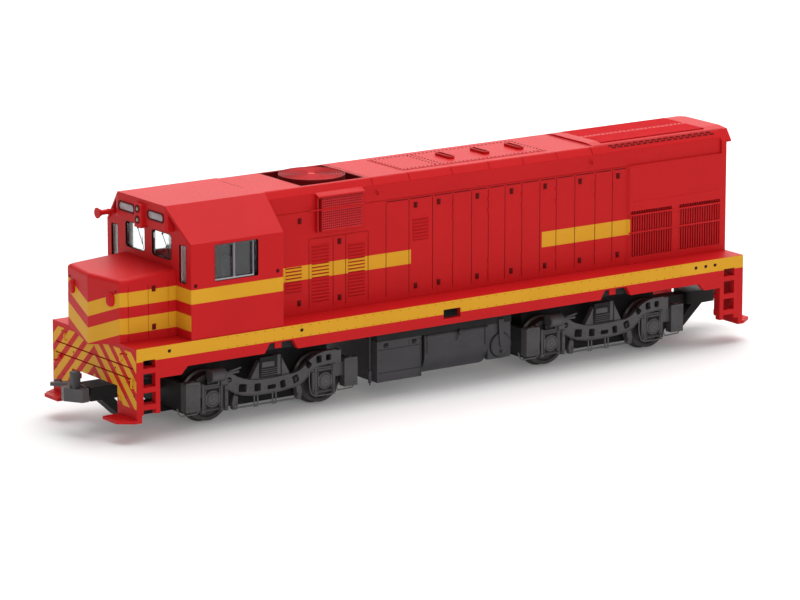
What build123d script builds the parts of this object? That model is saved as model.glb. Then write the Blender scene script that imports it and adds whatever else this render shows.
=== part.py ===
"""HO scale (1:87) model of a four-axle road-switcher diesel locomotive.

Millimetres.  X runs along the locomotive: the low nose and the cab face -X, the
long hood runs towards +X.  Y runs across it, and +Z is up.  The origin is the middle
of the locomotive, in plan, at the lowest point of the wheel flanges.
"""
from build123d import *
import math
import os

os.makedirs("parts", exist_ok=True)

# ---------------------------------------------------------------- driving dimensions
FLANGE_DEPTH = 0.6           # flange below the tread, so also the rail top above Z = 0
TREAD_R = 5.0
WHEELBASE = 28.0             # between the two axles of one bogie
BOGIE_CENTRES = 87.0         # between the two bogie pivots
FRAME_LENGTH = 157.6         # over the two pilot plates
FRAME_WIDTH = 33.0           # over the side sills
WALL = 1.0                   # moulded wall of the hoods and the cab
GAP = 0.05                   # seam between two mouldings that touch on the real model
GROOVE_WIDE = 0.16           # engraved door and panel lines
GROOVE_DEEP = 0.12

RAIL = FLANGE_DEPTH          # height of the rail top
DECK_TOP = RAIL + 19.3       # top of the walkway
DECK_THICK = 1.0
SILL_THICK = 1.2
SILL_BOTTOM = RAIL + 14.2    # lower edge of the side sill between the steps
SILL_DEEP = RAIL + 12.6      # lower edge of its deeper ends, beside the ladders

NOSE_LENGTH = 13.4           # from the pilot plate to the front wall of the cab
CAB_LENGTH = 22.7
CAB_HALF = 16.3
CAB_SLANT_Z = RAIL + 39.25   # where the upright cab side turns in
ROOF_Z = RAIL + 46.4         # flat roof of cab and long hood
ROOF_HALF_CAB = 9.2          # half the width of the cab's flat roof

NOSE_HALF = 10.5
NOSE_PEAK = 1.4              # how far the middle of the nose stands ahead of its corners
NOSE_TOP_BACK = RAIL + 33.3
NOSE_TOP_FRONT = RAIL + 32.2

HOOD_HALF = 9.8
REAR_INSET = 0.05            # radiator section short of the rear pilot plate
REAR_LENGTH = 27.45          # length of the radiator section
BELT_Z = RAIL + 41.3         # line along the hood above the doors
ROOF_CHAMFER_OUT = 1.1
ROOF_CHAMFER_DOWN = 1.6
REAR_HALF = 10.3             # radiator section below the belt line

DECK_HALF = FRAME_WIDTH / 2
FRAME_END = FRAME_LENGTH / 2
NOSE_FRONT = -FRAME_END
CAB_FRONT = NOSE_FRONT + NOSE_LENGTH
CAB_BACK = CAB_FRONT + CAB_LENGTH
REAR_END = FRAME_END - REAR_INSET
HOOD_BACK = REAR_END - REAR_LENGTH    # where the long hood meets the radiator section
AXLE_Z = RAIL + TREAD_R
FLANGE_R = TREAD_R + FLANGE_DEPTH
SWIVEL_X = BOGIE_CENTRES / 2
HOOD_SLANT_Z = ROOF_Z - ROOF_CHAMFER_DOWN
HOOD_ROOF_HALF = HOOD_HALF - ROOF_CHAMFER_OUT
REAR_SLANT_Z = HOOD_SLANT_Z - (REAR_HALF - HOOD_HALF) * ROOF_CHAMFER_DOWN / ROOF_CHAMFER_OUT


def save(builder, name):
    """Label one finished piece and write it to its own file."""
    piece = builder.part if hasattr(builder, "part") else builder
    piece.label = name
    export_step(piece, f"parts/{name}.step")


def box_between(x, y, z, mode=Mode.ADD):
    """A block in the open part, from (low, high) pairs along X, Y and Z."""
    with Locations((sum(x) / 2, sum(y) / 2, sum(z) / 2)):
        Box(abs(x[1] - x[0]), abs(y[1] - y[0]), abs(z[1] - z[0]), mode=mode)


def both_sides(low, high):
    """The same span of Y on the two sides of the middle."""
    return [(low, high), (-high, -low)]


def upright_groove(x, half, z):
    """An engraved upright line on both sides of the open part."""
    for low, high in both_sides(half - GROOVE_DEEP, half + GROOVE_DEEP):
        box_between((x - GROOVE_WIDE / 2, x + GROOVE_WIDE / 2), (low, high), z, mode=Mode.SUBTRACT)


def level_groove(x, half, z):
    """An engraved level line on both sides of the open part."""
    for low, high in both_sides(half - GROOVE_DEEP, half + GROOVE_DEEP):
        box_between(x, (low, high), (z - GROOVE_WIDE / 2, z + GROOVE_WIDE / 2), mode=Mode.SUBTRACT)


# ---------------------------------------------------------------- underframe
LADDER_LENGTH = 5.6
LADDER_DEPTH = 1.4
REAR_LADDER_SHIFT = 0.85     # the rear ladders stand further from their pilot plate
SILL_START = -FRAME_END + LADDER_LENGTH
DEEP_END = SILL_START + 5.2             # where the deeper end of the sill slopes up
DEEP_SLOPE = 1.5
NOTCH_HALF = 4.1                        # cut-out in the sill above each bogie
NOTCH_SLOPE = 1.2
NOTCH_TOP = RAIL + 16.2
SLOT_X = (-2.3, 2.1)                    # dark slot in the middle of the sill
SLOT_Z = (RAIL + 15.5, RAIL + 17.5)
SILL_HOLE_X = [-FRAME_END + 7.9, -38.4, FRAME_END - 13.2, FRAME_END - 10.5, FRAME_END - 7.9]
SILL_HOLE_Z = RAIL + 18.0
SILL_HOLE_R = 0.42
CENTRE_SILL = (3.0, 4.2)
CENTRE_SILL_END = FRAME_END - 8.8
CENTRE_SILL_BOTTOM = SILL_BOTTOM + 1.0
BOLSTER_LENGTH = 1.7
BOLSTER_BOTTOM = SILL_BOTTOM + 0.4

sill_end = -SILL_START - REAR_LADDER_SHIFT
with BuildPart() as underframe:
    box_between((-FRAME_END, FRAME_END), (-DECK_HALF, DECK_HALF), (DECK_TOP - DECK_THICK, DECK_TOP))
    for low, high in both_sides(DECK_HALF - SILL_THICK, DECK_HALF):
        with BuildSketch(Plane.XZ.offset(-high)):
            with BuildLine():
                Polyline(
                    (SILL_START, DECK_TOP - DECK_THICK),
                    (SILL_START, SILL_DEEP),
                    (DEEP_END, SILL_DEEP),
                    (DEEP_END + DEEP_SLOPE, SILL_BOTTOM),
                    (-DEEP_END - DEEP_SLOPE, SILL_BOTTOM),
                    (-DEEP_END, SILL_DEEP),
                    (sill_end, SILL_DEEP),
                    (sill_end, DECK_TOP - DECK_THICK),
                    close=True,
                )
            make_face()
            for centre in (-SWIVEL_X, SWIVEL_X):
                with BuildLine():
                    Polyline(
                        (centre - NOTCH_HALF, SILL_BOTTOM - 1),
                        (centre - NOTCH_HALF, SILL_BOTTOM),
                        (centre - NOTCH_HALF + NOTCH_SLOPE, NOTCH_TOP),
                        (centre + NOTCH_HALF - NOTCH_SLOPE, NOTCH_TOP),
                        (centre + NOTCH_HALF, SILL_BOTTOM),
                        (centre + NOTCH_HALF, SILL_BOTTOM - 1),
                        close=True,
                    )
                make_face(mode=Mode.SUBTRACT)
            with Locations((sum(SLOT_X) / 2, sum(SLOT_Z) / 2)):
                Rectangle(SLOT_X[1] - SLOT_X[0], SLOT_Z[1] - SLOT_Z[0], mode=Mode.SUBTRACT)
            for x in SILL_HOLE_X:
                with Locations((x, SILL_HOLE_Z)):
                    Circle(SILL_HOLE_R, mode=Mode.SUBTRACT)
        extrude(amount=high - low)
    for low, high in both_sides(*CENTRE_SILL):
        box_between((-CENTRE_SILL_END, CENTRE_SILL_END), (low, high),
                    (CENTRE_SILL_BOTTOM, DECK_TOP - DECK_THICK))
    for centre in (-SWIVEL_X, SWIVEL_X):       # bolsters above the bogie pivots
        box_between((centre - BOLSTER_LENGTH / 2, centre + BOLSTER_LENGTH / 2),
                    (-DECK_HALF + SILL_THICK, DECK_HALF - SILL_THICK),
                    (BOLSTER_BOTTOM, DECK_TOP - DECK_THICK))
save(underframe, "underframe")

# ---------------------------------------------------------------- pilots and steps
PILOT_THICK = 1.2
PILOT_OPENING_TOP = RAIL + 10.3
PILOT_OPENING_HALF = 8.9
PILOT_FLANGE = 2.0                      # depth of the flange beside the opening
PILOT_FLANGE_THICK = 0.8
PILOT_BOTTOM = RAIL + 4.4
FOOT_BOTTOM = RAIL + 3.7
FOOT_REACH = 3.6                        # how far the foot plate stands out
FOOT_CORNER = 2.3            # cut off the outer corner, across and along
FOOT_CUT = 3.2
RIB_HEIGHTS = [RAIL + 12.7, RAIL + 15.0]
RIB_GROOVE = 0.3
RIB_MARGIN = 1.2
TREAD_TOPS = [RAIL + 15.0, RAIL + 11.0, RAIL + 7.4]
TREAD_THICK = 1.1
TREAD_DEPTH = 2.2
LADDER_POST = 1.1
LADDER_SKIN = 0.4            # thin post against the pilot plate
LADDER_BOTTOM = RAIL + 5.3
LADDER_HEAD = RAIL + 16.7     # lower edge of the sill band over the ladder


def build_pilot(end):
    """End plate with its coupler opening and foot plates; end is -1 in front, +1 behind."""
    outer = end * FRAME_END
    inner = outer - end * PILOT_THICK
    with BuildPart() as pilot:
        box_between((inner, outer), (-DECK_HALF, DECK_HALF), (PILOT_BOTTOM, DECK_TOP - DECK_THICK))
        box_between((inner, outer), (-PILOT_OPENING_HALF, PILOT_OPENING_HALF),
                    (PILOT_BOTTOM, PILOT_OPENING_TOP), mode=Mode.SUBTRACT)
        for low, high in both_sides(PILOT_OPENING_HALF, PILOT_OPENING_HALF + PILOT_FLANGE_THICK):
            box_between((outer - end * PILOT_FLANGE, outer), (low, high), (PILOT_BOTTOM, PILOT_OPENING_TOP))
        for height in RIB_HEIGHTS:
            box_between((outer - end * RIB_GROOVE, outer), (-DECK_HALF + RIB_MARGIN, DECK_HALF - RIB_MARGIN),
                        (height - RIB_GROOVE / 2, height + RIB_GROOVE / 2), mode=Mode.SUBTRACT)
        tip = outer + end * FOOT_REACH
        for side in (-1, 1):
            with BuildSketch(Plane.XY.offset(FOOT_BOTTOM)):
                with BuildLine():
                    Polyline(
                        (inner, side * PILOT_OPENING_HALF),
                        (tip, side * PILOT_OPENING_HALF),
                        (tip, side * (DECK_HALF - FOOT_CORNER)),
                        (tip - end * FOOT_CUT, side * DECK_HALF),
                        (inner, side * DECK_HALF),
                        close=True,
                    )
                make_face()
            extrude(amount=PILOT_BOTTOM - FOOT_BOTTOM)
    return pilot


def build_steps(end):
    """The two side ladders behind one pilot plate."""
    outer = end * (FRAME_END - PILOT_THICK)
    shift = REAR_LADDER_SHIFT if end > 0 else 0.0
    inner = end * (FRAME_END - LADDER_LENGTH - shift)
    skin = end * (LADDER_SKIN + shift)
    top = DECK_TOP - DECK_THICK
    with BuildPart() as steps:
        for low, high in both_sides(DECK_HALF - LADDER_DEPTH, DECK_HALF):
            box_between((outer - skin, outer), (low, high), (LADDER_BOTTOM, top))
            box_between((inner, inner + end * LADDER_POST), (low, high), (LADDER_BOTTOM, top))
        for low, high in both_sides(DECK_HALF - TREAD_DEPTH, DECK_HALF):
            for tread in TREAD_TOPS:
                box_between((inner, outer), (low, high), (tread - TREAD_THICK, tread))
        for low, high in both_sides(DECK_HALF - SILL_THICK, DECK_HALF):
            box_between((inner, outer), (low, high), (LADDER_HEAD, top))
    return steps


for end, place in ((-1, "front"), (1, "rear")):
    save(build_pilot(end), f"{place}_pilot")
    save(build_steps(end), f"{place}_steps")

# ---------------------------------------------------------------- short hood
NOSE_CORNER = 1.6            # length of the cut corner along X
NOSE_CORNER_IN = 0.4
NOSE_EDGE_R = 0.9
NOSE_DIP = 1.9               # how far the middle of the nose reaches below the deck
NOSE_SEAMS = [NOSE_FRONT + 1.9, NOSE_FRONT + 6.7, NOSE_FRONT + 11.5]
NOSE_SEAM_TOP = RAIL + 31.0
NOSE_SEAM_BOTTOM = DECK_TOP + 0.3

with BuildPart() as short_hood:
    with BuildSketch(Plane.XY.offset(DECK_TOP)):
        with BuildLine():
            Polyline(
                (CAB_FRONT, -NOSE_HALF),
                (NOSE_FRONT + NOSE_CORNER, -NOSE_HALF),
                (NOSE_FRONT, -NOSE_HALF + NOSE_CORNER_IN),
                (NOSE_FRONT - NOSE_PEAK, 0),
                (NOSE_FRONT, NOSE_HALF - NOSE_CORNER_IN),
                (NOSE_FRONT + NOSE_CORNER, NOSE_HALF),
                (CAB_FRONT, NOSE_HALF),
                close=True,
            )
        make_face()
    extrude(amount=NOSE_TOP_BACK + 2 - DECK_TOP)
    with BuildSketch(Plane.XZ.offset(-NOSE_HALF - 1)):       # sloping top
        with BuildLine():
            Polyline(
                (CAB_FRONT + 1, NOSE_TOP_BACK),
                (NOSE_FRONT - 3, NOSE_TOP_FRONT),
                (NOSE_FRONT - 3, NOSE_TOP_BACK + 4),
                (CAB_FRONT + 1, NOSE_TOP_BACK + 4),
                close=True,
            )
        make_face()
    extrude(amount=2 * NOSE_HALF + 2, mode=Mode.SUBTRACT)
    nose_top = short_hood.faces().filter_by(lambda f: f.normal_at().Z > 0.9).sort_by(Axis.Z)[-1]
    top_edges = nose_top.edges().filter_by(lambda e: e.center().X < CAB_FRONT - 1)
    fillet(top_edges, radius=NOSE_EDGE_R)
    with BuildSketch(Plane.XY.offset(DECK_TOP - 1)):          # hollow inside
        with BuildLine():
            Polyline(
                (CAB_FRONT + 1, -NOSE_HALF + WALL),
                (NOSE_FRONT + NOSE_CORNER, -NOSE_HALF + WALL),
                (NOSE_FRONT + WALL, 0),
                (NOSE_FRONT + NOSE_CORNER, NOSE_HALF - WALL),
                (CAB_FRONT + 1, NOSE_HALF - WALL),
                close=True,
            )
        make_face()
    extrude(amount=NOSE_TOP_FRONT - WALL - DECK_TOP, mode=Mode.SUBTRACT)
    with BuildSketch(Plane.XY.offset(DECK_TOP)):              # apron ahead of the pilot plate
        with BuildLine():
            Polyline(
                (NOSE_FRONT, -NOSE_HALF + NOSE_CORNER_IN),
                (NOSE_FRONT - NOSE_PEAK, 0),
                (NOSE_FRONT, NOSE_HALF - NOSE_CORNER_IN),
                close=True,
            )
        make_face()
    extrude(amount=-NOSE_DIP)
    with BuildSketch(Plane.YZ.offset(NOSE_FRONT - NOSE_PEAK - 1)):
        for side in (-1, 1):
            with BuildLine():
                Polyline(
                    (0, DECK_TOP - NOSE_DIP - 1),
                    (0, DECK_TOP - NOSE_DIP),
                    (side * NOSE_HALF, DECK_TOP),
                    (side * NOSE_HALF, DECK_TOP - NOSE_DIP - 1),
                    close=True,
                )
            make_face()
    extrude(amount=NOSE_PEAK + 1, mode=Mode.SUBTRACT)
    for x in NOSE_SEAMS:
        upright_groove(x, NOSE_HALF, (NOSE_SEAM_BOTTOM, NOSE_SEAM_TOP))
save(short_hood, "short_hood")

LAMP_Y = 7.5
NOSE_LAMP_Z = RAIL + 28.1
NOSE_LAMP_SIZE = (2.3, 2.9)  # across and up
NOSE_LAMP_DEPTH = 0.7
NOSE_LAMP_EDGE_R = 0.45
with BuildPart() as nose_lamps:
    for side in (-1, 1):
        slope = NOSE_PEAK / (NOSE_HALF - NOSE_CORNER_IN)
        lamp_x = NOSE_FRONT - NOSE_PEAK + slope * LAMP_Y
        lamp_plane = Plane(origin=(lamp_x, side * LAMP_Y, NOSE_LAMP_Z), x_dir=(side * slope, 1, 0),
                           z_dir=(-1, side * slope, 0))
        with BuildSketch(lamp_plane):
            SlotOverall(NOSE_LAMP_SIZE[1], NOSE_LAMP_SIZE[0], rotation=90)
        extrude(amount=NOSE_LAMP_DEPTH)
    outer_faces = nose_lamps.faces().filter_by(lambda f: f.normal_at().X < -0.9)
    fillet(outer_faces.edges(), radius=NOSE_LAMP_EDGE_R)
save(nose_lamps, "nose_lamps")

# ---------------------------------------------------------------- cab
WINDSHIELD = dict(y=(1.4, 8.9), z=(RAIL + 34.7, RAIL + 40.1), r=0.8)
QUARTER_WINDOW = dict(y=(11.9, 14.5), z=(RAIL + 30.8, RAIL + 38.7), r=0.4)
REAR_WINDOW = dict(y=(11.6, 14.6), z=(RAIL + 30.8, RAIL + 38.7), r=0.4)
SIDE_WINDOW_X = (CAB_FRONT + 5.8, CAB_BACK - 6.3)
SIDE_WINDOW_Z = (RAIL + 31.0, RAIL + 38.6)
SIDE_WINDOW_R = 0.3
CAB_EDGE_R = 0.3
SLANT_WALL = 0.4             # how far the inner slant keeps off the outer one


def section_points(half, slant_z, roof_z, roof_half, floor):
    """Corners of a body section across the locomotive, with its two roof slants."""
    return [
        (-half, floor),
        (half, floor),
        (half, slant_z),
        (roof_half, roof_z),
        (-roof_half, roof_z),
        (-half, slant_z),
    ]


with BuildPart() as cab:
    with BuildSketch(Plane.YZ.offset(CAB_FRONT)):
        with BuildLine():
            outline = section_points(CAB_HALF, CAB_SLANT_Z, ROOF_Z, ROOF_HALF_CAB, DECK_TOP)
            Polyline(*outline, close=True)
        make_face()
    extrude(amount=CAB_BACK - CAB_FRONT)
    long_edges = cab.edges().filter_by(Axis.X).filter_by(lambda e: e.center().Z > DECK_TOP + 1)
    upright_edges = cab.edges().filter_by(Axis.Z)
    fillet(long_edges + upright_edges, radius=CAB_EDGE_R)
    with BuildSketch(Plane.YZ.offset(CAB_FRONT + WALL)):
        with BuildLine():
            outline = section_points(CAB_HALF - WALL, CAB_SLANT_Z - SLANT_WALL, ROOF_Z - WALL,
                                     ROOF_HALF_CAB - SLANT_WALL, DECK_TOP - 1)
            Polyline(*outline, close=True)
        make_face()
    extrude(amount=CAB_BACK - CAB_FRONT - 2 * WALL, mode=Mode.SUBTRACT)
    for window, wall_x in ((WINDSHIELD, CAB_FRONT), (QUARTER_WINDOW, CAB_FRONT), (REAR_WINDOW, CAB_BACK)):
        width = window["y"][1] - window["y"][0]
        height = window["z"][1] - window["z"][0]
        with BuildSketch(Plane.YZ.offset(wall_x - 1.5 * WALL)):
            for side in (-1, 1):
                with Locations((side * sum(window["y"]) / 2, sum(window["z"]) / 2)):
                    RectangleRounded(width, height, window["r"])
        extrude(amount=3 * WALL, mode=Mode.SUBTRACT)
    with BuildSketch(Plane.XZ.offset(-CAB_HALF - 1)):
        with Locations((sum(SIDE_WINDOW_X) / 2, sum(SIDE_WINDOW_Z) / 2)):
            RectangleRounded(SIDE_WINDOW_X[1] - SIDE_WINDOW_X[0], SIDE_WINDOW_Z[1] - SIDE_WINDOW_Z[0],
                             SIDE_WINDOW_R)
    extrude(amount=2 * CAB_HALF + 2, mode=Mode.SUBTRACT)
save(cab, "cab")

VISOR_REACH = 1.7
VISOR_BOTTOM = RAIL + 41.1
VISOR_EAVE = 0.6             # thickness of the roof edge that runs out to the visor
EAVE_LAP = 0.1
POD_HALF = 1.4
POD_REACH = 0.9
POD_R = 0.25
VISOR_FLARE = 0.8            # visor plate wider than the flat of the roof
POD_BOTTOM = RAIL + 40.5
POD_TOP = RAIL + 45.4
LAMP_R = 0.75
LAMP_DEPTH = 0.5
LENS_THICK = 0.3
BOARD_Y = (2.5, 8.8)
BOARD_Z = (RAIL + 42.6, RAIL + 44.7)
BOARD_DEPTH = 0.5
BOARD_R = 0.6
BOARD_THICK = 0.25
HEADLIGHT_Z = [RAIL + 42.1, RAIL + 44.4]
visor_front = CAB_FRONT - VISOR_REACH

with BuildPart() as visor:
    with BuildSketch(Plane.YZ.offset(visor_front)):
        with BuildLine():
            Polyline(
                (-CAB_HALF, CAB_SLANT_Z),
                (-ROOF_HALF_CAB, ROOF_Z),
                (ROOF_HALF_CAB, ROOF_Z),
                (CAB_HALF, CAB_SLANT_Z),
                (CAB_HALF - VISOR_EAVE, CAB_SLANT_Z - EAVE_LAP),
                (ROOF_HALF_CAB - 2 * EAVE_LAP, ROOF_Z - VISOR_EAVE),
                (-ROOF_HALF_CAB + 2 * EAVE_LAP, ROOF_Z - VISOR_EAVE),
                (-CAB_HALF + VISOR_EAVE, CAB_SLANT_Z - EAVE_LAP),
                close=True,
            )
        make_face()
    extrude(amount=VISOR_REACH)
    flare_half = ROOF_HALF_CAB + VISOR_FLARE
    flare_z = ROOF_Z - VISOR_FLARE * (ROOF_Z - CAB_SLANT_Z) / (CAB_HALF - ROOF_HALF_CAB)
    with BuildSketch(Plane.YZ.offset(visor_front)):
        with BuildLine():
            outline = section_points(flare_half, flare_z, ROOF_Z, ROOF_HALF_CAB, VISOR_BOTTOM)
            Polyline(*outline, close=True)
        make_face()
    extrude(amount=VISOR_REACH)
    for side in (-1, 1):                   # the slants run back from the visor to the cab corner
        with BuildSketch(Plane.XY.offset(CAB_SLANT_Z - 1)):
            with BuildLine():
                Polyline(
                    (visor_front - 1, side * ROOF_HALF_CAB),
                    (visor_front, side * ROOF_HALF_CAB),
                    (CAB_FRONT, side * (CAB_HALF - EAVE_LAP)),
                    (CAB_FRONT, side * (CAB_HALF + 1)),
                    (visor_front - 1, side * (CAB_HALF + 1)),
                    close=True,
                )
            make_face()
        extrude(amount=ROOF_Z - CAB_SLANT_Z + 2, mode=Mode.SUBTRACT)
    with BuildSketch(Plane.XY.offset(POD_BOTTOM)):
        with Locations((visor_front, 0)):
            RectangleRounded(2 * POD_REACH, 2 * POD_HALF, POD_R)
    extrude(amount=POD_TOP - POD_BOTTOM)
    with BuildSketch(Plane.YZ.offset(visor_front - 1)):
        for side in (-1, 1):
            with Locations((side * sum(BOARD_Y) / 2, sum(BOARD_Z) / 2)):
                RectangleRounded(BOARD_Y[1] - BOARD_Y[0], BOARD_Z[1] - BOARD_Z[0], BOARD_R)
    extrude(amount=1 + BOARD_DEPTH, mode=Mode.SUBTRACT)
    for height in HEADLIGHT_Z:
        with Locations(Location((visor_front - POD_REACH, 0, height), (0, 90, 0))):
            Cylinder(LAMP_R + GAP, 2 * LAMP_DEPTH, mode=Mode.SUBTRACT)
save(visor, "visor")

REAR_LAMP_Z = [RAIL + 42.1, RAIL + 44.0]
REAR_BOARD_Y = (3.0, 8.0)
with BuildPart() as number_boards:         # in the visor, and on the hood's rear end
    for x, span in ((visor_front + BOARD_DEPTH - BOARD_THICK, BOARD_Y), (REAR_END, REAR_BOARD_Y)):
        with BuildSketch(Plane.YZ.offset(x)):
            for side in (-1, 1):
                with Locations((side * sum(span) / 2, sum(BOARD_Z) / 2)):
                    RectangleRounded(span[1] - span[0] - 2 * GAP, BOARD_Z[1] - BOARD_Z[0] - 2 * GAP,
                                     BOARD_R - GAP)
        extrude(amount=BOARD_THICK)
save(number_boards, "number_boards")

with BuildPart() as headlights:
    for height in HEADLIGHT_Z:
        lens_x = visor_front - POD_REACH + LAMP_DEPTH - LENS_THICK / 2
        with Locations(Location((lens_x, 0, height), (0, 90, 0))):
            Cylinder(LAMP_R, LENS_THICK)
    for height in REAR_LAMP_Z:
        with Locations(Location((REAR_END + LAMP_DEPTH / 2, 0, height), (0, 90, 0))):
            Cylinder(LAMP_R, LAMP_DEPTH)
save(headlights, "headlights")

PANE = 0.35
PANE_INSET = 0.45            # from the outer face of the wall
with BuildPart() as cab_glass:
    for window, x in ((WINDSHIELD, CAB_FRONT + PANE_INSET), (QUARTER_WINDOW, CAB_FRONT + PANE_INSET),
                      (REAR_WINDOW, CAB_BACK - PANE_INSET - PANE)):
        with BuildSketch(Plane.YZ.offset(x)):
            for side in (-1, 1):
                with Locations((side * sum(window["y"]) / 2, sum(window["z"]) / 2)):
                    RectangleRounded(window["y"][1] - window["y"][0] - 2 * GAP,
                                     window["z"][1] - window["z"][0] - 2 * GAP, window["r"] - GAP)
        extrude(amount=PANE)
save(cab_glass, "cab_glass")

FRAME_BAR = 0.3
MIDDLE_BAR = 0.7
FRAME_DEEP = 0.4
SASH_INSET = 0.25
SASH_END = 0.9               # the sash ends short of the opening's rear edge
SASH_Y = (CAB_HALF - SASH_INSET - FRAME_DEEP, CAB_HALF - SASH_INSET)
sash_x = (SIDE_WINDOW_X[0] + GAP, SIDE_WINDOW_X[1] - SASH_END)
sash_z = (SIDE_WINDOW_Z[0] + GAP, SIDE_WINDOW_Z[1] - GAP)
with BuildPart() as side_window_frames:
    for low, high in both_sides(*SASH_Y):
        box_between(sash_x, (low, high), sash_z)
        middle = sum(sash_x) / 2
        for x0, x1 in ((sash_x[0] + FRAME_BAR, middle - MIDDLE_BAR / 2),
                       (middle + MIDDLE_BAR / 2, sash_x[1] - FRAME_BAR)):
            box_between((x0, x1), (low, high), (sash_z[0] + FRAME_BAR, sash_z[1] - FRAME_BAR),
                        mode=Mode.SUBTRACT)
save(side_window_frames, "side_window_frames")

with BuildPart() as side_glass:
    for low, high in both_sides(SASH_Y[0] - PANE, SASH_Y[0]):
        box_between((SIDE_WINDOW_X[0] + GAP, SIDE_WINDOW_X[1] - GAP), (low, high), sash_z)
save(side_glass, "side_glass")

HORN_Y = 11.5
HORN_Z = RAIL + 41.8
HORN_PIPE_R = 0.55
HORN_LENGTH = 4.3
HORN_BELL = 1.0
HORN_BELL_R = 1.15
HORN_THROAT_R = 0.65
with BuildPart() as horn:
    with Locations(Location((CAB_FRONT - HORN_LENGTH / 2, HORN_Y, HORN_Z), (0, 90, 0))):
        Cylinder(HORN_PIPE_R, HORN_LENGTH)
    with Locations(Location((CAB_FRONT - HORN_LENGTH - HORN_BELL / 2, HORN_Y, HORN_Z), (0, 90, 0))):
        Cone(HORN_BELL_R, HORN_THROAT_R, HORN_BELL)
save(horn, "horn")

# ---------------------------------------------------------------- long hood
FAN_X = CAB_BACK + 17.9
FAN_WELL_HALF = 8.1
FAN_R = 7.1
FAN_WELL_DEEP = 1.9
FAN_WELL_WALL = 0.3
LOW_DOOR_LINES = [-32.1, -26.0, -22.8, -17.1]       # below the intake boxes
DOOR_LINES = [-12.5, -6.6, -0.5, 4.8, 9.7, 14.1, 18.5, 23.0, 27.8, 32.2, 37.2, 42.7, 47.4]
ROOF_BREAKS = [-15.8, -6.3, 4.8, 14.5, 23.5, 32.6, 42.0]
DOOR_BOTTOM = DECK_TOP + 1.1
LOW_DOOR_TOP = RAIL + 35.3
HOOD_EDGE_R = 0.5
hood_front = CAB_BACK

with BuildPart() as long_hood:
    with BuildSketch(Plane.YZ.offset(hood_front)):
        with BuildLine():
            outline = section_points(HOOD_HALF, HOOD_SLANT_Z, ROOF_Z, HOOD_ROOF_HALF, DECK_TOP)
            Polyline(*outline, close=True)
        make_face()
    extrude(amount=HOOD_BACK - hood_front)
    roof_edges = long_hood.edges().filter_by(Axis.X).filter_by(lambda e: e.center().Z > DECK_TOP + 1)
    fillet(roof_edges, radius=HOOD_EDGE_R)
    with BuildSketch(Plane.YZ.offset(hood_front + WALL)):
        with BuildLine():
            outline = section_points(HOOD_HALF - WALL, HOOD_SLANT_Z - WALL, ROOF_Z - WALL,
                                     HOOD_ROOF_HALF - WALL, DECK_TOP - 1)
            Polyline(*outline, close=True)
        make_face()
    extrude(amount=HOOD_BACK - hood_front - 2 * WALL, mode=Mode.SUBTRACT)
    box_between((FAN_X - FAN_WELL_HALF, FAN_X + FAN_WELL_HALF), (-FAN_WELL_HALF, FAN_WELL_HALF),
                (ROOF_Z - 2 * WALL, ROOF_Z + 1), mode=Mode.SUBTRACT)
    level_groove((hood_front, HOOD_BACK), HOOD_HALF, BELT_Z)
    for x in DOOR_LINES:
        upright_groove(x, HOOD_HALF, (DOOR_BOTTOM, BELT_Z))
    for x in LOW_DOOR_LINES:
        upright_groove(x, HOOD_HALF, (DOOR_BOTTOM, LOW_DOOR_TOP))
    level_groove((LOW_DOOR_LINES[0], LOW_DOOR_LINES[-1]), HOOD_HALF, LOW_DOOR_TOP)
    slant_length = math.hypot(ROOF_CHAMFER_OUT, ROOF_CHAMFER_DOWN)
    slant_angle = math.degrees(math.atan2(ROOF_CHAMFER_DOWN, ROOF_CHAMFER_OUT))
    for x in ROOF_BREAKS:
        for side in (-1, 1):
            middle_y = side * (HOOD_HALF + HOOD_ROOF_HALF) / 2
            middle_z = (HOOD_SLANT_Z + ROOF_Z) / 2
            with Locations(Location((x, middle_y, middle_z), (-side * slant_angle, 0, 0))):
                Box(GROOVE_WIDE, slant_length, 2 * GROOVE_DEEP, mode=Mode.SUBTRACT)
save(long_hood, "long_hood")

with BuildPart() as fan_well:
    well_outer = FAN_WELL_HALF - GAP
    well_inner = well_outer - FAN_WELL_WALL
    box_between((FAN_X - well_outer, FAN_X + well_outer), (-well_outer, well_outer),
                (ROOF_Z - FAN_WELL_DEEP, ROOF_Z - GAP))
    box_between((FAN_X - well_inner, FAN_X + well_inner), (-well_inner, well_inner),
                (ROOF_Z - FAN_WELL_DEEP + FAN_WELL_WALL, ROOF_Z), mode=Mode.SUBTRACT)
save(fan_well, "fan_well")

FAN_PROUD = 0.5
FAN_RINGS = [5.9, 4.9, 3.9, 2.9, 1.9]
RING_WIDE = 0.45
RING_THICK = 0.4
FAN_RIM = 0.5
FAN_HUB_R = 1.0
FAN_SPOKES = 4               # bars right across the fan
SPOKE_WIDE = 0.3
SPOKE_LOW = 0.05             # spokes and rings below the rim
fan_bottom = ROOF_Z - FAN_WELL_DEEP + FAN_WELL_WALL
fan_top = ROOF_Z + FAN_PROUD
with BuildPart() as roof_fan:
    with BuildSketch(Plane.XY.offset(fan_bottom)):
        with Locations((FAN_X, 0)):
            Circle(FAN_R)
            Circle(FAN_R - FAN_RIM, mode=Mode.SUBTRACT)
    extrude(amount=fan_top - fan_bottom)
    with BuildSketch(Plane.XY.offset(fan_top - RING_THICK)):
        for ring in FAN_RINGS:
            with Locations((FAN_X, 0)):
                Circle(ring)
                Circle(ring - RING_WIDE, mode=Mode.SUBTRACT)
        with Locations((FAN_X, 0)):
            Circle(FAN_HUB_R)
        for turn in range(FAN_SPOKES):
            with Locations((FAN_X, 0)):
                Rectangle(2 * FAN_R - FAN_RIM, SPOKE_WIDE, rotation=180 / FAN_SPOKES * turn)
    extrude(amount=RING_THICK - SPOKE_LOW)
save(roof_fan, "roof_fan")

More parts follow.
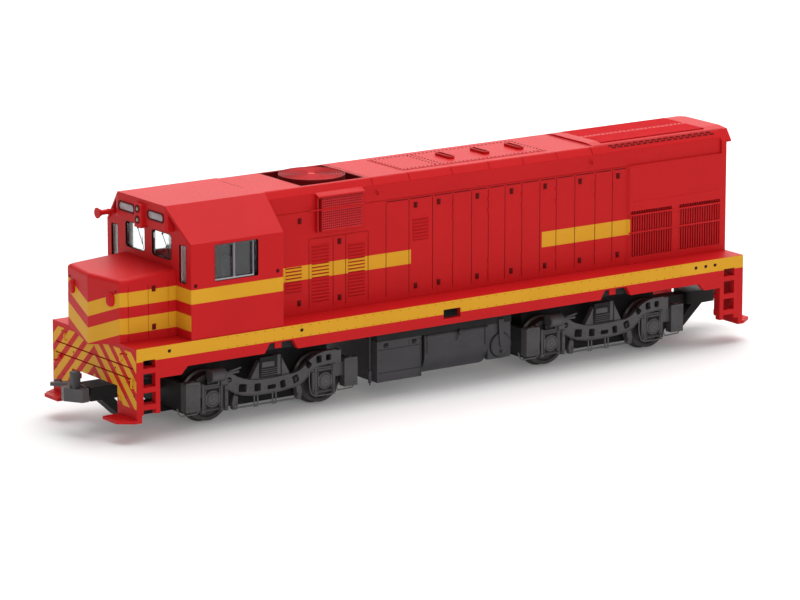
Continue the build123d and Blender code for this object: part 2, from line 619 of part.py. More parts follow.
GRILLE_X = (FAN_X - 5.4, FAN_X + 5.6)
GRILLE_Z = (RAIL + 36.6, RAIL + 44.0)
GRILLE_OUT = 1.0
GRILLE_LID = dict(x=(FAN_X - 5.7, FAN_X + 6.1), out=1.25, thick=0.35)
with BuildPart() as side_grilles:
    for side in (-1, 1):
        box_between(GRILLE_X, (side * HOOD_HALF, side * (HOOD_HALF + GRILLE_OUT)), GRILLE_Z)
        box_between(GRILLE_LID["x"], (side * HOOD_HALF, side * (HOOD_HALF + GRILLE_LID["out"])),
                    (GRILLE_Z[1], GRILLE_Z[1] + GRILLE_LID["thick"]))
save(side_grilles, "side_grilles")

HATCH_X = (-6.1, 31.7)
HATCH_HALF = 6.6
HATCH_RISE = 0.1
VENT_X = [9.6, 18.8, 27.9]
VENT_SIZE = (1.6, 5.8)
VENT_RISE = 0.6
VENT_WALL = 0.3
VENT_R = 0.6
HATCH_EDGE = 0.05
with BuildPart() as roof_hatch:
    box_between(HATCH_X, (-HATCH_HALF, HATCH_HALF), (ROOF_Z, ROOF_Z + HATCH_RISE))
    chamfer(roof_hatch.faces().sort_by(Axis.Z)[-1].edges(), length=HATCH_EDGE)
save(roof_hatch, "roof_hatch")

with BuildPart() as roof_vents:
    with BuildSketch(Plane.XY.offset(ROOF_Z + HATCH_RISE)):
        for x in VENT_X:
            with Locations((x, 0)):
                RectangleRounded(VENT_SIZE[0], VENT_SIZE[1], VENT_R)
                RectangleRounded(VENT_SIZE[0] - 2 * VENT_WALL, VENT_SIZE[1] - 2 * VENT_WALL,
                                 VENT_R - VENT_WALL, mode=Mode.SUBTRACT)
    extrude(amount=VENT_RISE)
    with BuildSketch(Plane.XY.offset(ROOF_Z + HATCH_RISE)):
        for x in VENT_X:
            with Locations((x, 0)):
                RectangleRounded(VENT_SIZE[0] - VENT_WALL, VENT_SIZE[1] - VENT_WALL, VENT_R - VENT_WALL / 2)
    extrude(amount=VENT_RISE / 3)
save(roof_vents, "roof_vents")

# ---------------------------------------------------------------- radiator section
REAR_GRILLES = [(HOOD_BACK + 0.8, HOOD_BACK + 12.2), (HOOD_BACK + 14.2, REAR_END - 1.85)]
REAR_GRILLE_Z = (RAIL + 20.9, RAIL + 31.1)
REAR_BEVEL = 0.6
REAR_FRAME = 1.5             # length of the end frame, flush up to the roof
REAR_CORNER_R = 0.3
REAR_DOOR_HALF = 2.7
REAR_DOOR_TOP = RAIL + 36.5

with BuildPart() as rear_hood:
    with BuildSketch(Plane.XY.offset(DECK_TOP)):
        with BuildLine():
            Polyline(
                (HOOD_BACK, -HOOD_HALF),
                (HOOD_BACK + REAR_BEVEL, -REAR_HALF),
                (REAR_END, -REAR_HALF),
                (REAR_END, REAR_HALF),
                (HOOD_BACK + REAR_BEVEL, REAR_HALF),
                (HOOD_BACK, HOOD_HALF),
                close=True,
            )
        make_face()
    extrude(amount=BELT_Z - DECK_TOP)
    with BuildSketch(Plane.YZ.offset(HOOD_BACK)):
        with BuildLine():
            outline = section_points(HOOD_HALF, HOOD_SLANT_Z, ROOF_Z, HOOD_ROOF_HALF, BELT_Z)
            Polyline(*outline, close=True)
        make_face()
    extrude(amount=REAR_END - HOOD_BACK)
    roof_edges = rear_hood.edges().filter_by(Axis.X).filter_by(lambda e: e.center().Z > BELT_Z + 1)
    fillet(roof_edges, radius=HOOD_EDGE_R)
    with BuildSketch(Plane.YZ.offset(REAR_END - REAR_FRAME)):
        with BuildLine():
            outline = section_points(REAR_HALF, REAR_SLANT_Z, ROOF_Z, HOOD_ROOF_HALF, BELT_Z)
            Polyline(*outline, close=True)
        make_face()
    extrude(amount=REAR_FRAME)
    fillet(rear_hood.edges().filter_by(Axis.Z).group_by(Axis.X)[-1], radius=REAR_CORNER_R)
    with BuildSketch(Plane.YZ.offset(HOOD_BACK + WALL)):
        with BuildLine():
            outline = section_points(HOOD_HALF - WALL, HOOD_SLANT_Z - WALL, ROOF_Z - WALL,
                                     HOOD_ROOF_HALF - WALL, DECK_TOP - 1)
            Polyline(*outline, close=True)
        make_face()
    extrude(amount=REAR_END - HOOD_BACK - 2 * WALL, mode=Mode.SUBTRACT)
    for x0, x1 in REAR_GRILLES:
        for low, high in both_sides(HOOD_HALF - 2 * WALL, REAR_HALF + 1):
            box_between((x0, x1), (low, high), REAR_GRILLE_Z, mode=Mode.SUBTRACT)
    for y in (-REAR_DOOR_HALF, REAR_DOOR_HALF):
        box_between((REAR_END - GROOVE_DEEP, REAR_END), (y - GROOVE_WIDE / 2, y + GROOVE_WIDE / 2),
                    (DECK_TOP + 0.5, REAR_DOOR_TOP), mode=Mode.SUBTRACT)
    box_between((REAR_END - GROOVE_DEEP, REAR_END), (-REAR_DOOR_HALF, REAR_DOOR_HALF),
                (REAR_DOOR_TOP, REAR_DOOR_TOP + GROOVE_WIDE), mode=Mode.SUBTRACT)
save(rear_hood, "rear_hood")

GRILLE_INSET = 0.5
GRILLE_THICK = 0.5
with BuildPart() as rear_grilles:
    for x0, x1 in REAR_GRILLES:
        for low, high in both_sides(REAR_HALF - GRILLE_INSET - GRILLE_THICK, REAR_HALF - GRILLE_INSET):
            box_between((x0, x1), (low, high), REAR_GRILLE_Z)
save(rear_grilles, "rear_grilles")

CAP_X = (HOOD_BACK - 8.3, REAR_END + 1.1)
CAP_RISE = 0.35
CAP_CROWN_HALF = 6.0
CAP_HALF = 8.6
EAVE_BOTTOM = RAIL + 43.7
EAVE_WALL = 0.4
EAVE_TOP = 0.6               # roof left above the hollow of the eave
with BuildPart() as rear_roof:
    with BuildSketch(Plane.YZ.offset(CAP_X[0])):
        with BuildLine():
            Polyline(
                (-CAP_HALF, ROOF_Z),
                (CAP_HALF, ROOF_Z),
                (CAP_CROWN_HALF, ROOF_Z + CAP_RISE),
                (-CAP_CROWN_HALF, ROOF_Z + CAP_RISE),
                close=True,
            )
        make_face()
    extrude(amount=CAP_X[1] - CAP_X[0])
    with BuildSketch(Plane.YZ.offset(REAR_END)):
        with BuildLine():
            outline = section_points(REAR_HALF, REAR_SLANT_Z, ROOF_Z, HOOD_ROOF_HALF, EAVE_BOTTOM)
            Polyline(*outline, close=True)
        make_face()
    extrude(amount=CAP_X[1] - REAR_END)
    box_between((REAR_END, CAP_X[1] - EAVE_WALL), (-HOOD_ROOF_HALF, HOOD_ROOF_HALF),
                (EAVE_BOTTOM - 1, ROOF_Z - EAVE_TOP), mode=Mode.SUBTRACT)
save(rear_roof, "rear_roof")

# ---------------------------------------------------------------- weight and tanks
WEIGHT_X = (CAB_BACK + 4.7, HOOD_BACK - 3.3)
WEIGHT_HALF = 7.2
WEIGHT_TOP = RAIL + 40.0
with BuildPart() as chassis_weight:
    box_between(WEIGHT_X, (-WEIGHT_HALF, WEIGHT_HALF), (DECK_TOP, WEIGHT_TOP))
save(chassis_weight, "chassis_weight")

TANK_HALF = 13.0             # outer faces of the battery box and the tank
SADDLE_X = (-17.0, 18.0)
SADDLE_BOTTOM = RAIL + 11.7
BATTERY_X = (-17.0, -5.6)
BATTERY_BOTTOM = RAIL + 2.9
BATTERY_LINES = [RAIL + 4.9, RAIL + 9.9]        # engraved lines across its doors
BATTERY_MARGIN = 0.3
BATTERY_SPLIT = 8.2          # short upright line from the box's front end
TANK_X = (-4.6, 12.0)
TANK_BOTTOM = RAIL + 2.4
TANK_CORNER_R = 5.0
TANK_TOP_R = 0.8
TANK_INSET = 0.2             # tank side within the battery box side
BRACKET_SPAN = (0.3, 1.4)    # within the battery box side
BRACKET_X = (12.0, 18.0)
BRACKET_BOTTOM = RAIL + 3.9
RESERVOIR_X = 15.3
RESERVOIR_Z = RAIL + 6.8
RESERVOIR_R = 2.6
with BuildPart() as tank_saddle:
    box_between(SADDLE_X, (-TANK_HALF, TANK_HALF), (SADDLE_BOTTOM, DECK_TOP - DECK_THICK))
    for low, high in both_sides(CENTRE_SILL[0] - GAP, CENTRE_SILL[1] + GAP):
        box_between(SADDLE_X, (low, high), (CENTRE_SILL_BOTTOM, DECK_TOP), mode=Mode.SUBTRACT)
save(tank_saddle, "tank_saddle")

with BuildPart() as battery_box:
    box_between(BATTERY_X, (-TANK_HALF, TANK_HALF), (BATTERY_BOTTOM, SADDLE_BOTTOM))
    battery_door = (BATTERY_X[0] + BATTERY_MARGIN, BATTERY_X[1] - BATTERY_MARGIN)
    for z in BATTERY_LINES:
        level_groove(battery_door, TANK_HALF, z)
    upright_groove(battery_door[1], TANK_HALF, (BATTERY_BOTTOM, SADDLE_BOTTOM - BATTERY_MARGIN))
    upper_door = (BATTERY_LINES[-1], SADDLE_BOTTOM - BATTERY_MARGIN)
    upright_groove(BATTERY_X[0] + BATTERY_SPLIT, TANK_HALF, upper_door)
save(battery_box, "battery_box")

with BuildPart() as fuel_tank:
    box_between(TANK_X, (-TANK_HALF + TANK_INSET, TANK_HALF - TANK_INSET), (TANK_BOTTOM, SADDLE_BOTTOM))
    fillet(fuel_tank.edges().filter_by(Axis.X).group_by(Axis.Z)[0], radius=TANK_CORNER_R)
    fillet(fuel_tank.edges().filter_by(Axis.X).group_by(Axis.Z)[-1], radius=TANK_TOP_R)
save(fuel_tank, "fuel_tank")

with BuildPart() as air_reservoir:
    with Locations(Location((RESERVOIR_X, 0, RESERVOIR_Z), (90, 0, 0))):
        Cylinder(RESERVOIR_R, 2 * TANK_HALF)
save(air_reservoir, "air_reservoir")

with BuildPart() as reservoir_brackets:
    for low, high in both_sides(TANK_HALF - BRACKET_SPAN[1], TANK_HALF - BRACKET_SPAN[0]):
        box_between(BRACKET_X, (low, high), (BRACKET_BOTTOM, SADDLE_BOTTOM))
    with Locations(Location((RESERVOIR_X, 0, RESERVOIR_Z), (90, 0, 0))):
        Cylinder(RESERVOIR_R + GAP, 3 * TANK_HALF, mode=Mode.SUBTRACT)
save(reservoir_brackets, "reservoir_brackets")

# ---------------------------------------------------------------- bogies
BACK_TO_BACK = 14.4          # between the inner faces of the two wheels
WHEEL_WIDTH = 2.8
WHEEL_OUT = BACK_TO_BACK / 2 + WHEEL_WIDTH
AXLE_R = 1.0
PIVOT_R = 0.7                # axle end that turns in the side frame
PIVOT_LENGTH = 0.8           # how far it reaches into the side frame
END_PLAY = 0.1
RUNNING_FIT = 0.05
WHEEL_CLEAR = 0.4            # between a wheel's outer face and the side frame
WHEEL_DISH = 0.4             # wheel's middle within its rim
RIM_THICK = 0.8
TREAD_TAPER = 0.05
FLANGE_ROOT = 0.7            # flange profile, from the wheel's inner face
FLANGE_BACK = 0.3
FLANGE_EDGE = 0.2
SIDE_IN = WHEEL_OUT + WHEEL_CLEAR
JOURNAL_OUT = SIDE_IN + 1.2
BEAM_OUT_Y = JOURNAL_OUT + 0.4
BOX_OUT = BEAM_OUT_Y + 0.4
BEAM_IN_X = WHEELBASE / 2 + FLANGE_R + 0.2     # end beams of the bogie, clear of the wheels
BEAM_OUT_X = BEAM_IN_X + 1.1
BLOCK_HALF = BACK_TO_BACK / 2 - 0.7
BLOCK_END = 18.0
END_BEAM_Z = (RAIL + 3.1, RAIL + 9.0)
END_BEAM_NECK = 3.0          # half width of what joins an end beam to the block
BLOCK_BOTTOM = RAIL + 1.3
BLOCK_TOP = RAIL + 13.0
KINGPIN_R = 2.2
KINGPIN_DEEP = 2.8           # how far the pin reaches into the block
KINGPIN_BOTTOM = BLOCK_TOP - KINGPIN_DEEP
ARM_HALF = 2.4               # half width of the coupler arm
ARM_BOTTOM = RAIL + 6.2
ARM_TOP = RAIL + 8.3
STRUT_THICK = 1.8
STRUT_RISE = 0.4             # the strut's top edge inside the draft box
DRAFT_HALF = 2.9
DRAFT_ROOM = 2.1             # half width of the space in the draft box, and its length behind the pin
DRAFT_CORNER_R = 1.2
DRAFT_BOTTOM = RAIL + 6.0
DRAFT_TOP = RAIL + 8.9
COUPLER_PIVOT = SWIVEL_X - FRAME_END + 1.8     # from the bogie centre, like the next two
DRAFT_FRONT = COUPLER_PIVOT - 4.5              # box that holds the coupler
DRAFT_BACK = COUPLER_PIVOT + 3.0
COUPLER_PIN_R = 0.8
SHANK_BOTTOM = RAIL + 6.7
SHANK_TOP = RAIL + 8.1
SHANK_HALF = 1.1
SHANK_LENGTH = 5.4
SHANK_EYE_R = 1.6
SHANK_PLAY = 0.2             # above and below the shank
SHANK_LAP = 0.4
# outlines of the coupler's head and of its horn: reach beyond the shank's end, y
HEAD_OUTLINE = [(1.0, -5.3), (2.6, -5.4), (4.9, -1.8), (4.4, 0.0), (2.4, 0.4), (2.2, SHANK_HALF)]
HORN_OUTLINE = [(0.0, 0.9), (2.2, 0.9), (4.8, 3.8), (4.2, 4.5), (1.0, 3.0)]
HEAD_BOTTOM = RAIL + 6.7
HEAD_TOP = RAIL + 9.5
HORN_BOTTOM = RAIL + 8.8

# holes in the curved beam: x from the bogie centre, height above the rail, width, height, turn
BEAM_HOLES = [
    (-6.7, 6.3, 2.0, 1.7, -8),
    (-3.0, 5.95, 1.6, 1.65, -3),
    (0.5, 5.6, 2.1, 0.9, 0),
    (3.3, 5.8, 1.35, 1.65, 8),
    (6.5, 6.45, 1.55, 1.7, 20),
    (9.8, 9.0, 1.3, 1.3, 42),
    (12.4, 9.85, 1.35, 1.6, 5),
    (14.8, 9.95, 1.25, 1.35, 0),
]
HOLE_CORNER_R = 0.3
LOBE_HOLE = (-10.0, RAIL + 8.5)
LOBE_HOLE_R = 0.6
BEAM_DEPTH = 1.0             # thickness of the curved beam
JOURNAL_HALF = 2.2
JOURNAL_Z = (RAIL + 2.8, RAIL + 8.0)
JOURNAL_RING = (1.45, 0.25)  # radius and how far it stands out
JOURNAL_CAP = (1.0, 0.45)
# plain blocks of a side frame: x from, x to, thickness, then bottom and top above the rail
SIDE_BLOCKS = [
    (-12.6, -8.5, 1.2, 7.2, 8.6),                  # root of the beam at its low end
    (-BEAM_OUT_X, -16.0, 1.2, 5.5, 8.4),           # rails out to the end beams
    (15.8, BEAM_OUT_X, 1.2, 5.5, 8.4),
    (16.0, 18.0, 1.6, 8.4, 11.2),                  # plate at the beam's high end
    (-BEAM_OUT_X, -17.4, 2.0, 3.0, 9.1),           # sand boxes
    (18.6, BEAM_OUT_X + 1.0, 2.0, 3.1, 9.2),
    (-2.4, 1.2, 1.2, 6.8, 8.6),                    # seat, spring and cap at the middle
    (-1.9, 0.8, 1.0, 8.4, 9.4),
    (-2.2, 1.1, 1.4, 9.2, 11.0),
    (1.0, 3.0, 1.2, 7.2, 12.2),                    # column beside the spring
    (-14.6, -11.6, 0.4, 7.9, 10.0),                # foot of the brake cylinder
]
SPRING_BRACKETS = [                                # triangles beside the middle
    [(-4.9, RAIL + 7.2), (-2.3, RAIL + 7.2), (-2.3, RAIL + 11.4)],
    [(3.0, RAIL + 7.2), (5.6, RAIL + 7.2), (3.0, RAIL + 12.0)],
]
BRAKE_Z = RAIL + 10.0
BRAKE_CYLINDER = (-14.8, -11.3, 1.4)               # x from, x to, radius
BRAKE_ROD = (-11.4, -7.6, 0.35)
BRAKE_Y = -SIDE_IN - BRAKE_CYLINDER[2]


def build_side_frame():
    """One bogie side on the -Y side, about the bogie's own centre."""
    with BuildPart() as side:
        with BuildSketch(Plane.XZ.offset(BEAM_OUT_Y - BEAM_DEPTH)):  # curved beam with its holes
            with BuildLine():
                ThreePointArc((-12.1, RAIL + 8.1), (-8.7, RAIL + 5.5), (-4.8, RAIL + 4.45))
                ThreePointArc((-4.8, RAIL + 4.45), (0.0, RAIL + 4.3), (4.8, RAIL + 4.6))
                ThreePointArc((4.8, RAIL + 4.6), (8.4, RAIL + 5.5), (10.4, RAIL + 7.4))
                ThreePointArc((10.4, RAIL + 7.4), (12.2, RAIL + 8.3), (14.6, RAIL + 8.5))
                Line((14.6, RAIL + 8.5), (16.8, RAIL + 8.5))
                Line((16.8, RAIL + 8.5), (16.8, RAIL + 11.4))
                Line((16.8, RAIL + 11.4), (14.0, RAIL + 11.4))
                ThreePointArc((14.0, RAIL + 11.4), (10.9, RAIL + 10.5), (8.6, RAIL + 8.8))
                ThreePointArc((8.6, RAIL + 8.8), (6.9, RAIL + 7.9), (4.6, RAIL + 7.7))
                ThreePointArc((4.6, RAIL + 7.7), (0.5, RAIL + 7.5), (-3.6, RAIL + 7.6))
                ThreePointArc((-3.6, RAIL + 7.6), (-6.2, RAIL + 8.2), (-8.2, RAIL + 9.0))
                ThreePointArc((-8.2, RAIL + 9.0), (-10.2, RAIL + 9.7), (-12.1, RAIL + 8.1))
            make_face()
            for x, above_rail, wide, high, turn in BEAM_HOLES:
                with Locations((x, RAIL + above_rail)):
                    RectangleRounded(wide, high, HOLE_CORNER_R, rotation=turn, mode=Mode.SUBTRACT)
            with Locations(LOBE_HOLE):
                Circle(LOBE_HOLE_R, mode=Mode.SUBTRACT)
        extrude(amount=BEAM_DEPTH)
        for centre in (-WHEELBASE / 2, WHEELBASE / 2):
            box_between((centre - JOURNAL_HALF, centre + JOURNAL_HALF), (-JOURNAL_OUT, -SIDE_IN), JOURNAL_Z)
            for radius, proud in (JOURNAL_RING, JOURNAL_CAP):
                with Locations(Location((centre, -JOURNAL_OUT, AXLE_Z), (90, 0, 0))):
                    Cylinder(radius, 2 * proud)
        for x0, x1, thick, bottom, top in SIDE_BLOCKS:
            box_between((x0, x1), (-SIDE_IN - thick, -SIDE_IN), (RAIL + bottom, RAIL + top))
        with BuildSketch(Plane.XZ.offset(SIDE_IN)):
            for corners in SPRING_BRACKETS:
                with BuildLine():
                    Polyline(*corners, close=True)
                make_face()
        extrude(amount=JOURNAL_OUT - SIDE_IN)
        for x0, x1, radius in (BRAKE_CYLINDER, BRAKE_ROD):
            with Locations(Location(((x0 + x1) / 2, BRAKE_Y, BRAKE_Z), (0, 90, 0))):
                Cylinder(radius, x1 - x0)
        for centre in (-WHEELBASE / 2, WHEELBASE / 2):               # bearings of the axle ends
            with Locations(Location((centre, -SIDE_IN, AXLE_Z), (90, 0, 0))):
                Cylinder(PIVOT_R + RUNNING_FIT, 2 * (PIVOT_LENGTH + END_PLAY), mode=Mode.SUBTRACT)
    return side


def build_bogie_block():
    """Gear block, end beams and coupler arm of one bogie, about the bogie's own centre."""
    with BuildPart() as block:
        box_between((-BLOCK_END, BLOCK_END), (-BLOCK_HALF, BLOCK_HALF), (BLOCK_BOTTOM, BLOCK_TOP))
        for low, high in both_sides(BEAM_IN_X, BEAM_OUT_X):
            box_between((low, high), (-SIDE_IN, SIDE_IN), END_BEAM_Z)
        for low, high in both_sides(BLOCK_END, BEAM_IN_X):
            box_between((low, high), (-END_BEAM_NECK, END_BEAM_NECK), END_BEAM_Z)
        with Locations((0, 0, BLOCK_TOP)):
            Cylinder(KINGPIN_R + RUNNING_FIT, 2 * (KINGPIN_DEEP + RUNNING_FIT), mode=Mode.SUBTRACT)
        for centre in (-WHEELBASE / 2, WHEELBASE / 2):
            with Locations(Location((centre, 0, AXLE_Z), (90, 0, 0))):
                Cylinder(AXLE_R + RUNNING_FIT, 4 * BLOCK_HALF, mode=Mode.SUBTRACT)
        with BuildSketch(Plane.XZ.offset(-ARM_HALF)):                # strut up to the draft box
            with BuildLine():
                Polyline(
                    (-BLOCK_END, BLOCK_BOTTOM),
                    (DRAFT_BACK + 0.5, BLOCK_BOTTOM),
                    (COUPLER_PIVOT - 1.7, DRAFT_BOTTOM),
                    (COUPLER_PIVOT + 0.9, DRAFT_BOTTOM + STRUT_RISE),
                    (DRAFT_BACK + 1.1, BLOCK_BOTTOM + STRUT_THICK),
                    (-BLOCK_END, BLOCK_BOTTOM + STRUT_THICK),
                    close=True,
                )
            make_face()
        extrude(amount=2 * ARM_HALF)
        box_between((DRAFT_BACK, -BEAM_OUT_X), (-ARM_HALF + 0.8, ARM_HALF - 0.8), (ARM_BOTTOM, ARM_TOP))
        box_between((DRAFT_FRONT, DRAFT_BACK), (-DRAFT_HALF, DRAFT_HALF), (DRAFT_BOTTOM, DRAFT_TOP))
        fillet(block.edges().filter_by(Axis.Z).filter_by(
            lambda e: abs(e.center().X - DRAFT_BACK) < 0.01 and abs(e.center().Y) > DRAFT_HALF - 0.01),
            radius=DRAFT_CORNER_R)
        box_between((DRAFT_FRONT - 1, COUPLER_PIVOT + DRAFT_ROOM), (-DRAFT_ROOM, DRAFT_ROOM),
                    (SHANK_BOTTOM - SHANK_PLAY, SHANK_TOP + SHANK_PLAY), mode=Mode.SUBTRACT)
        with Locations((COUPLER_PIVOT, 0, (DRAFT_BOTTOM + DRAFT_TOP) / 2)):
            Cylinder(COUPLER_PIN_R, DRAFT_TOP - DRAFT_BOTTOM)
    return block


def build_coupler():
    """Hook coupler of the front bogie, about that bogie's centre, pointing to -X."""
    shank_end = COUPLER_PIVOT - SHANK_LENGTH
    with BuildPart() as coupler:
        with BuildSketch(Plane.XY.offset(SHANK_BOTTOM)):
            with Locations((COUPLER_PIVOT, 0)):
                Circle(SHANK_EYE_R)
            with Locations(((COUPLER_PIVOT + shank_end) / 2, 0)):
                Rectangle(COUPLER_PIVOT - shank_end + SHANK_LAP, 2 * SHANK_HALF)
            with Locations((COUPLER_PIVOT, 0)):
                Circle(COUPLER_PIN_R + RUNNING_FIT, mode=Mode.SUBTRACT)
        extrude(amount=SHANK_TOP - SHANK_BOTTOM)
        with BuildSketch(Plane.XY.offset(HEAD_BOTTOM)):
            with BuildLine():
                head = [(shank_end - reach, y) for reach, y in HEAD_OUTLINE]
                Polyline((shank_end, -SHANK_HALF), *head, (shank_end, SHANK_HALF), close=True)
            make_face()
        extrude(amount=HEAD_TOP - HEAD_BOTTOM)
        with BuildSketch(Plane.XY.offset(HORN_BOTTOM)):
            with BuildLine():
                Polyline(*[(shank_end - reach, y) for reach, y in HORN_OUTLINE], close=True)
            make_face()
        extrude(amount=HEAD_TOP - HORN_BOTTOM)
    return coupler


def build_wheelset():
    """Axle with its two flanged wheels, about the axle's own centre."""
    inner = BACK_TO_BACK / 2
    with BuildPart() as wheelset:
        with BuildSketch(Plane.YZ):
            with BuildLine():
                Polyline(
                    (-SIDE_IN - PIVOT_LENGTH, 0),
                    (-SIDE_IN - PIVOT_LENGTH, PIVOT_R),
                    (-WHEEL_OUT - WHEEL_CLEAR / 2, PIVOT_R),
                    (-WHEEL_OUT - WHEEL_CLEAR / 2, AXLE_R),
                    (-WHEEL_OUT + WHEEL_DISH, AXLE_R),
                    (-WHEEL_OUT + WHEEL_DISH, TREAD_R - RIM_THICK),
                    (-WHEEL_OUT, TREAD_R - RIM_THICK),
                    (-WHEEL_OUT, TREAD_R - TREAD_TAPER),
                    (-inner - FLANGE_ROOT, TREAD_R),
                    (-inner - FLANGE_ROOT + FLANGE_EDGE, FLANGE_R - FLANGE_EDGE / 2),
                    (-inner - FLANGE_BACK, FLANGE_R),
                    (-inner, FLANGE_R - FLANGE_EDGE),
                    (-inner, AXLE_R),
                    (0, AXLE_R),
                    (0, 0),
                    close=True,
                )
            make_face()
            mirror(about=Plane.YZ)
        revolve(axis=Axis.Y)
    return wheelset


MOUNT_X = (BOLSTER_LENGTH / 2, 4.2)         # cross plates beside the bolster, from its centre
MOUNT_HALF = DECK_HALF - SILL_THICK - 0.2
MOUNT_Z = (SILL_BOTTOM + 0.2, SILL_BOTTOM + 2.4)
with BuildPart() as bogie_mounts:
    for centre in (-SWIVEL_X, SWIVEL_X):
        with Locations((centre, 0, (KINGPIN_BOTTOM + BOLSTER_BOTTOM) / 2)):
            Cylinder(KINGPIN_R, BOLSTER_BOTTOM - KINGPIN_BOTTOM)
        for low, high in both_sides(*MOUNT_X):
            for y0, y1 in both_sides(CENTRE_SILL[1], MOUNT_HALF):
                box_between((centre + low, centre + high), (y0, y1), MOUNT_Z)
save(bogie_mounts, "bogie_mounts")

side_frame = build_side_frame().part
bogie_block = build_bogie_block().part
coupler = build_coupler().part
wheelset = build_wheelset().part
for end, place, turn in ((-1, "front", 0), (1, "rear", 180)):
    centre = end * SWIVEL_X
    save(side_frame.moved(Location((centre, 0, 0))), f"{place}_bogie_left_side")
    save(side_frame.moved(Location((centre, 0, 0), (0, 0, 180))), f"{place}_bogie_right_side")
    save(bogie_block.moved(Location((centre, 0, 0), (0, 0, turn))), f"{place}_bogie_block")
    save(coupler.moved(Location((centre, 0, 0), (0, 0, turn))), f"{place}_coupler")
    for axle, offset in (("outer", end * WHEELBASE / 2), ("inner", -end * WHEELBASE / 2)):
        save(wheelset.moved(Location((centre + offset, 0, AXLE_Z))), f"{place}_{axle}_wheelset")
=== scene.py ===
"""Looks of the HO scale diesel locomotive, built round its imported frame.

Shapes are drawn in millimetres: X along the locomotive with the cab towards -X, Y across
it, and Z as the height above the rail top.  Shape.piece() turns them into metres.
"""
import math

import bmesh
import bpy
from mathutils import Matrix, Vector


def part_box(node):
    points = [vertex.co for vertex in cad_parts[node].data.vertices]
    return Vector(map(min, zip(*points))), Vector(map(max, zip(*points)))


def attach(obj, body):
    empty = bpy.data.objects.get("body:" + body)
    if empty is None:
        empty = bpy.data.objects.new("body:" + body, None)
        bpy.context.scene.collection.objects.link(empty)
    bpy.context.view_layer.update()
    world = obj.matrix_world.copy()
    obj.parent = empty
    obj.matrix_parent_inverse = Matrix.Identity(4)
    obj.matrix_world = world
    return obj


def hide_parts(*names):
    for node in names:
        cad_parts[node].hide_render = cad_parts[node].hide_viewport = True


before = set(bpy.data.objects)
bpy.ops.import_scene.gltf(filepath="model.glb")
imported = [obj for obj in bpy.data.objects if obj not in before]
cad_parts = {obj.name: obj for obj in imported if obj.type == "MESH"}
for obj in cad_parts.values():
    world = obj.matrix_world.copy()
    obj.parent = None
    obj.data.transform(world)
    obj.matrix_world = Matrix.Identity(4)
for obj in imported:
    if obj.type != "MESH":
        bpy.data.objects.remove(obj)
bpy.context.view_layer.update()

# ------------ sizes, from the frame
MM = 0.001
RAIL = 0.6                               # rail top above the frame's origin
SIDES = (-1, 1)
X, Y, Z = Vector((1, 0, 0)), Vector((0, 1, 0)), Vector((0, 0, 1))


def span(node, axis):
    """Lowest and highest place of a CAD node along an axis (0, 1, 2), in this script's units."""
    low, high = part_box(node)
    drop = RAIL if axis == 2 else 0.0
    return low[axis] / MM - drop, high[axis] / MM - drop


def far_corner(node):
    """Highest place of a CAD node along each axis."""
    return [span(node, axis)[1] for axis in range(3)]


FRAME_END, DECK_HALF, DECK_TOP = far_corner("underframe")
CAB_BACK, CAB_HALF, ROOF_Z = far_corner("cab")
CAB_FRONT = span("cab", 0)[0]
HOOD_BACK, HOOD_HALF = far_corner("long_hood")[:2]
REAR_END, REAR_HALF = far_corner("rear_hood")[:2]
NOSE_HALF = span("short_hood", 1)[1]
VISOR_FRONT = CAB_FRONT - 1.7
FAN_X = sum(span("roof_fan", 0)) / 2
FAN_R = span("roof_fan", 1)[1]
SASH_MIDDLE = sum(span("side_window_frames", 0)) / 2
SASH_END_X = span("side_window_frames", 0)[1]
SASH_SILL_Z = span("side_window_frames", 2)[0]
WHEELBASE = 28.0
BOGIE_X = 43.5
AXLE_Z = 5.0
NOSE_CORNER_Y = 10.1                     # where the nose's front bends back
BODY = "locomotive"


def about(middle, half):
    """The (low, high) pair round a place."""
    return middle - half, middle + half


def near(place, low, high):
    """The (low, high) pair at two distances from a place."""
    return place + low, place + high


def inset(pair, by):
    """The (low, high) pair drawn in at both ends."""
    return pair[0] + by, pair[1] - by


def evenly(low, high, count):
    """Places in equal steps from low to high."""
    return [low + k * (high - low) / (count - 1) for k in range(count)]


def circle(centre, first, second, count):
    """Points in equal steps round a circle; its two radii are given as vectors."""
    turns = [2 * math.pi * k / count for k in range(count)]
    return [centre + first * math.cos(turn) + second * math.sin(turn) for turn in turns]


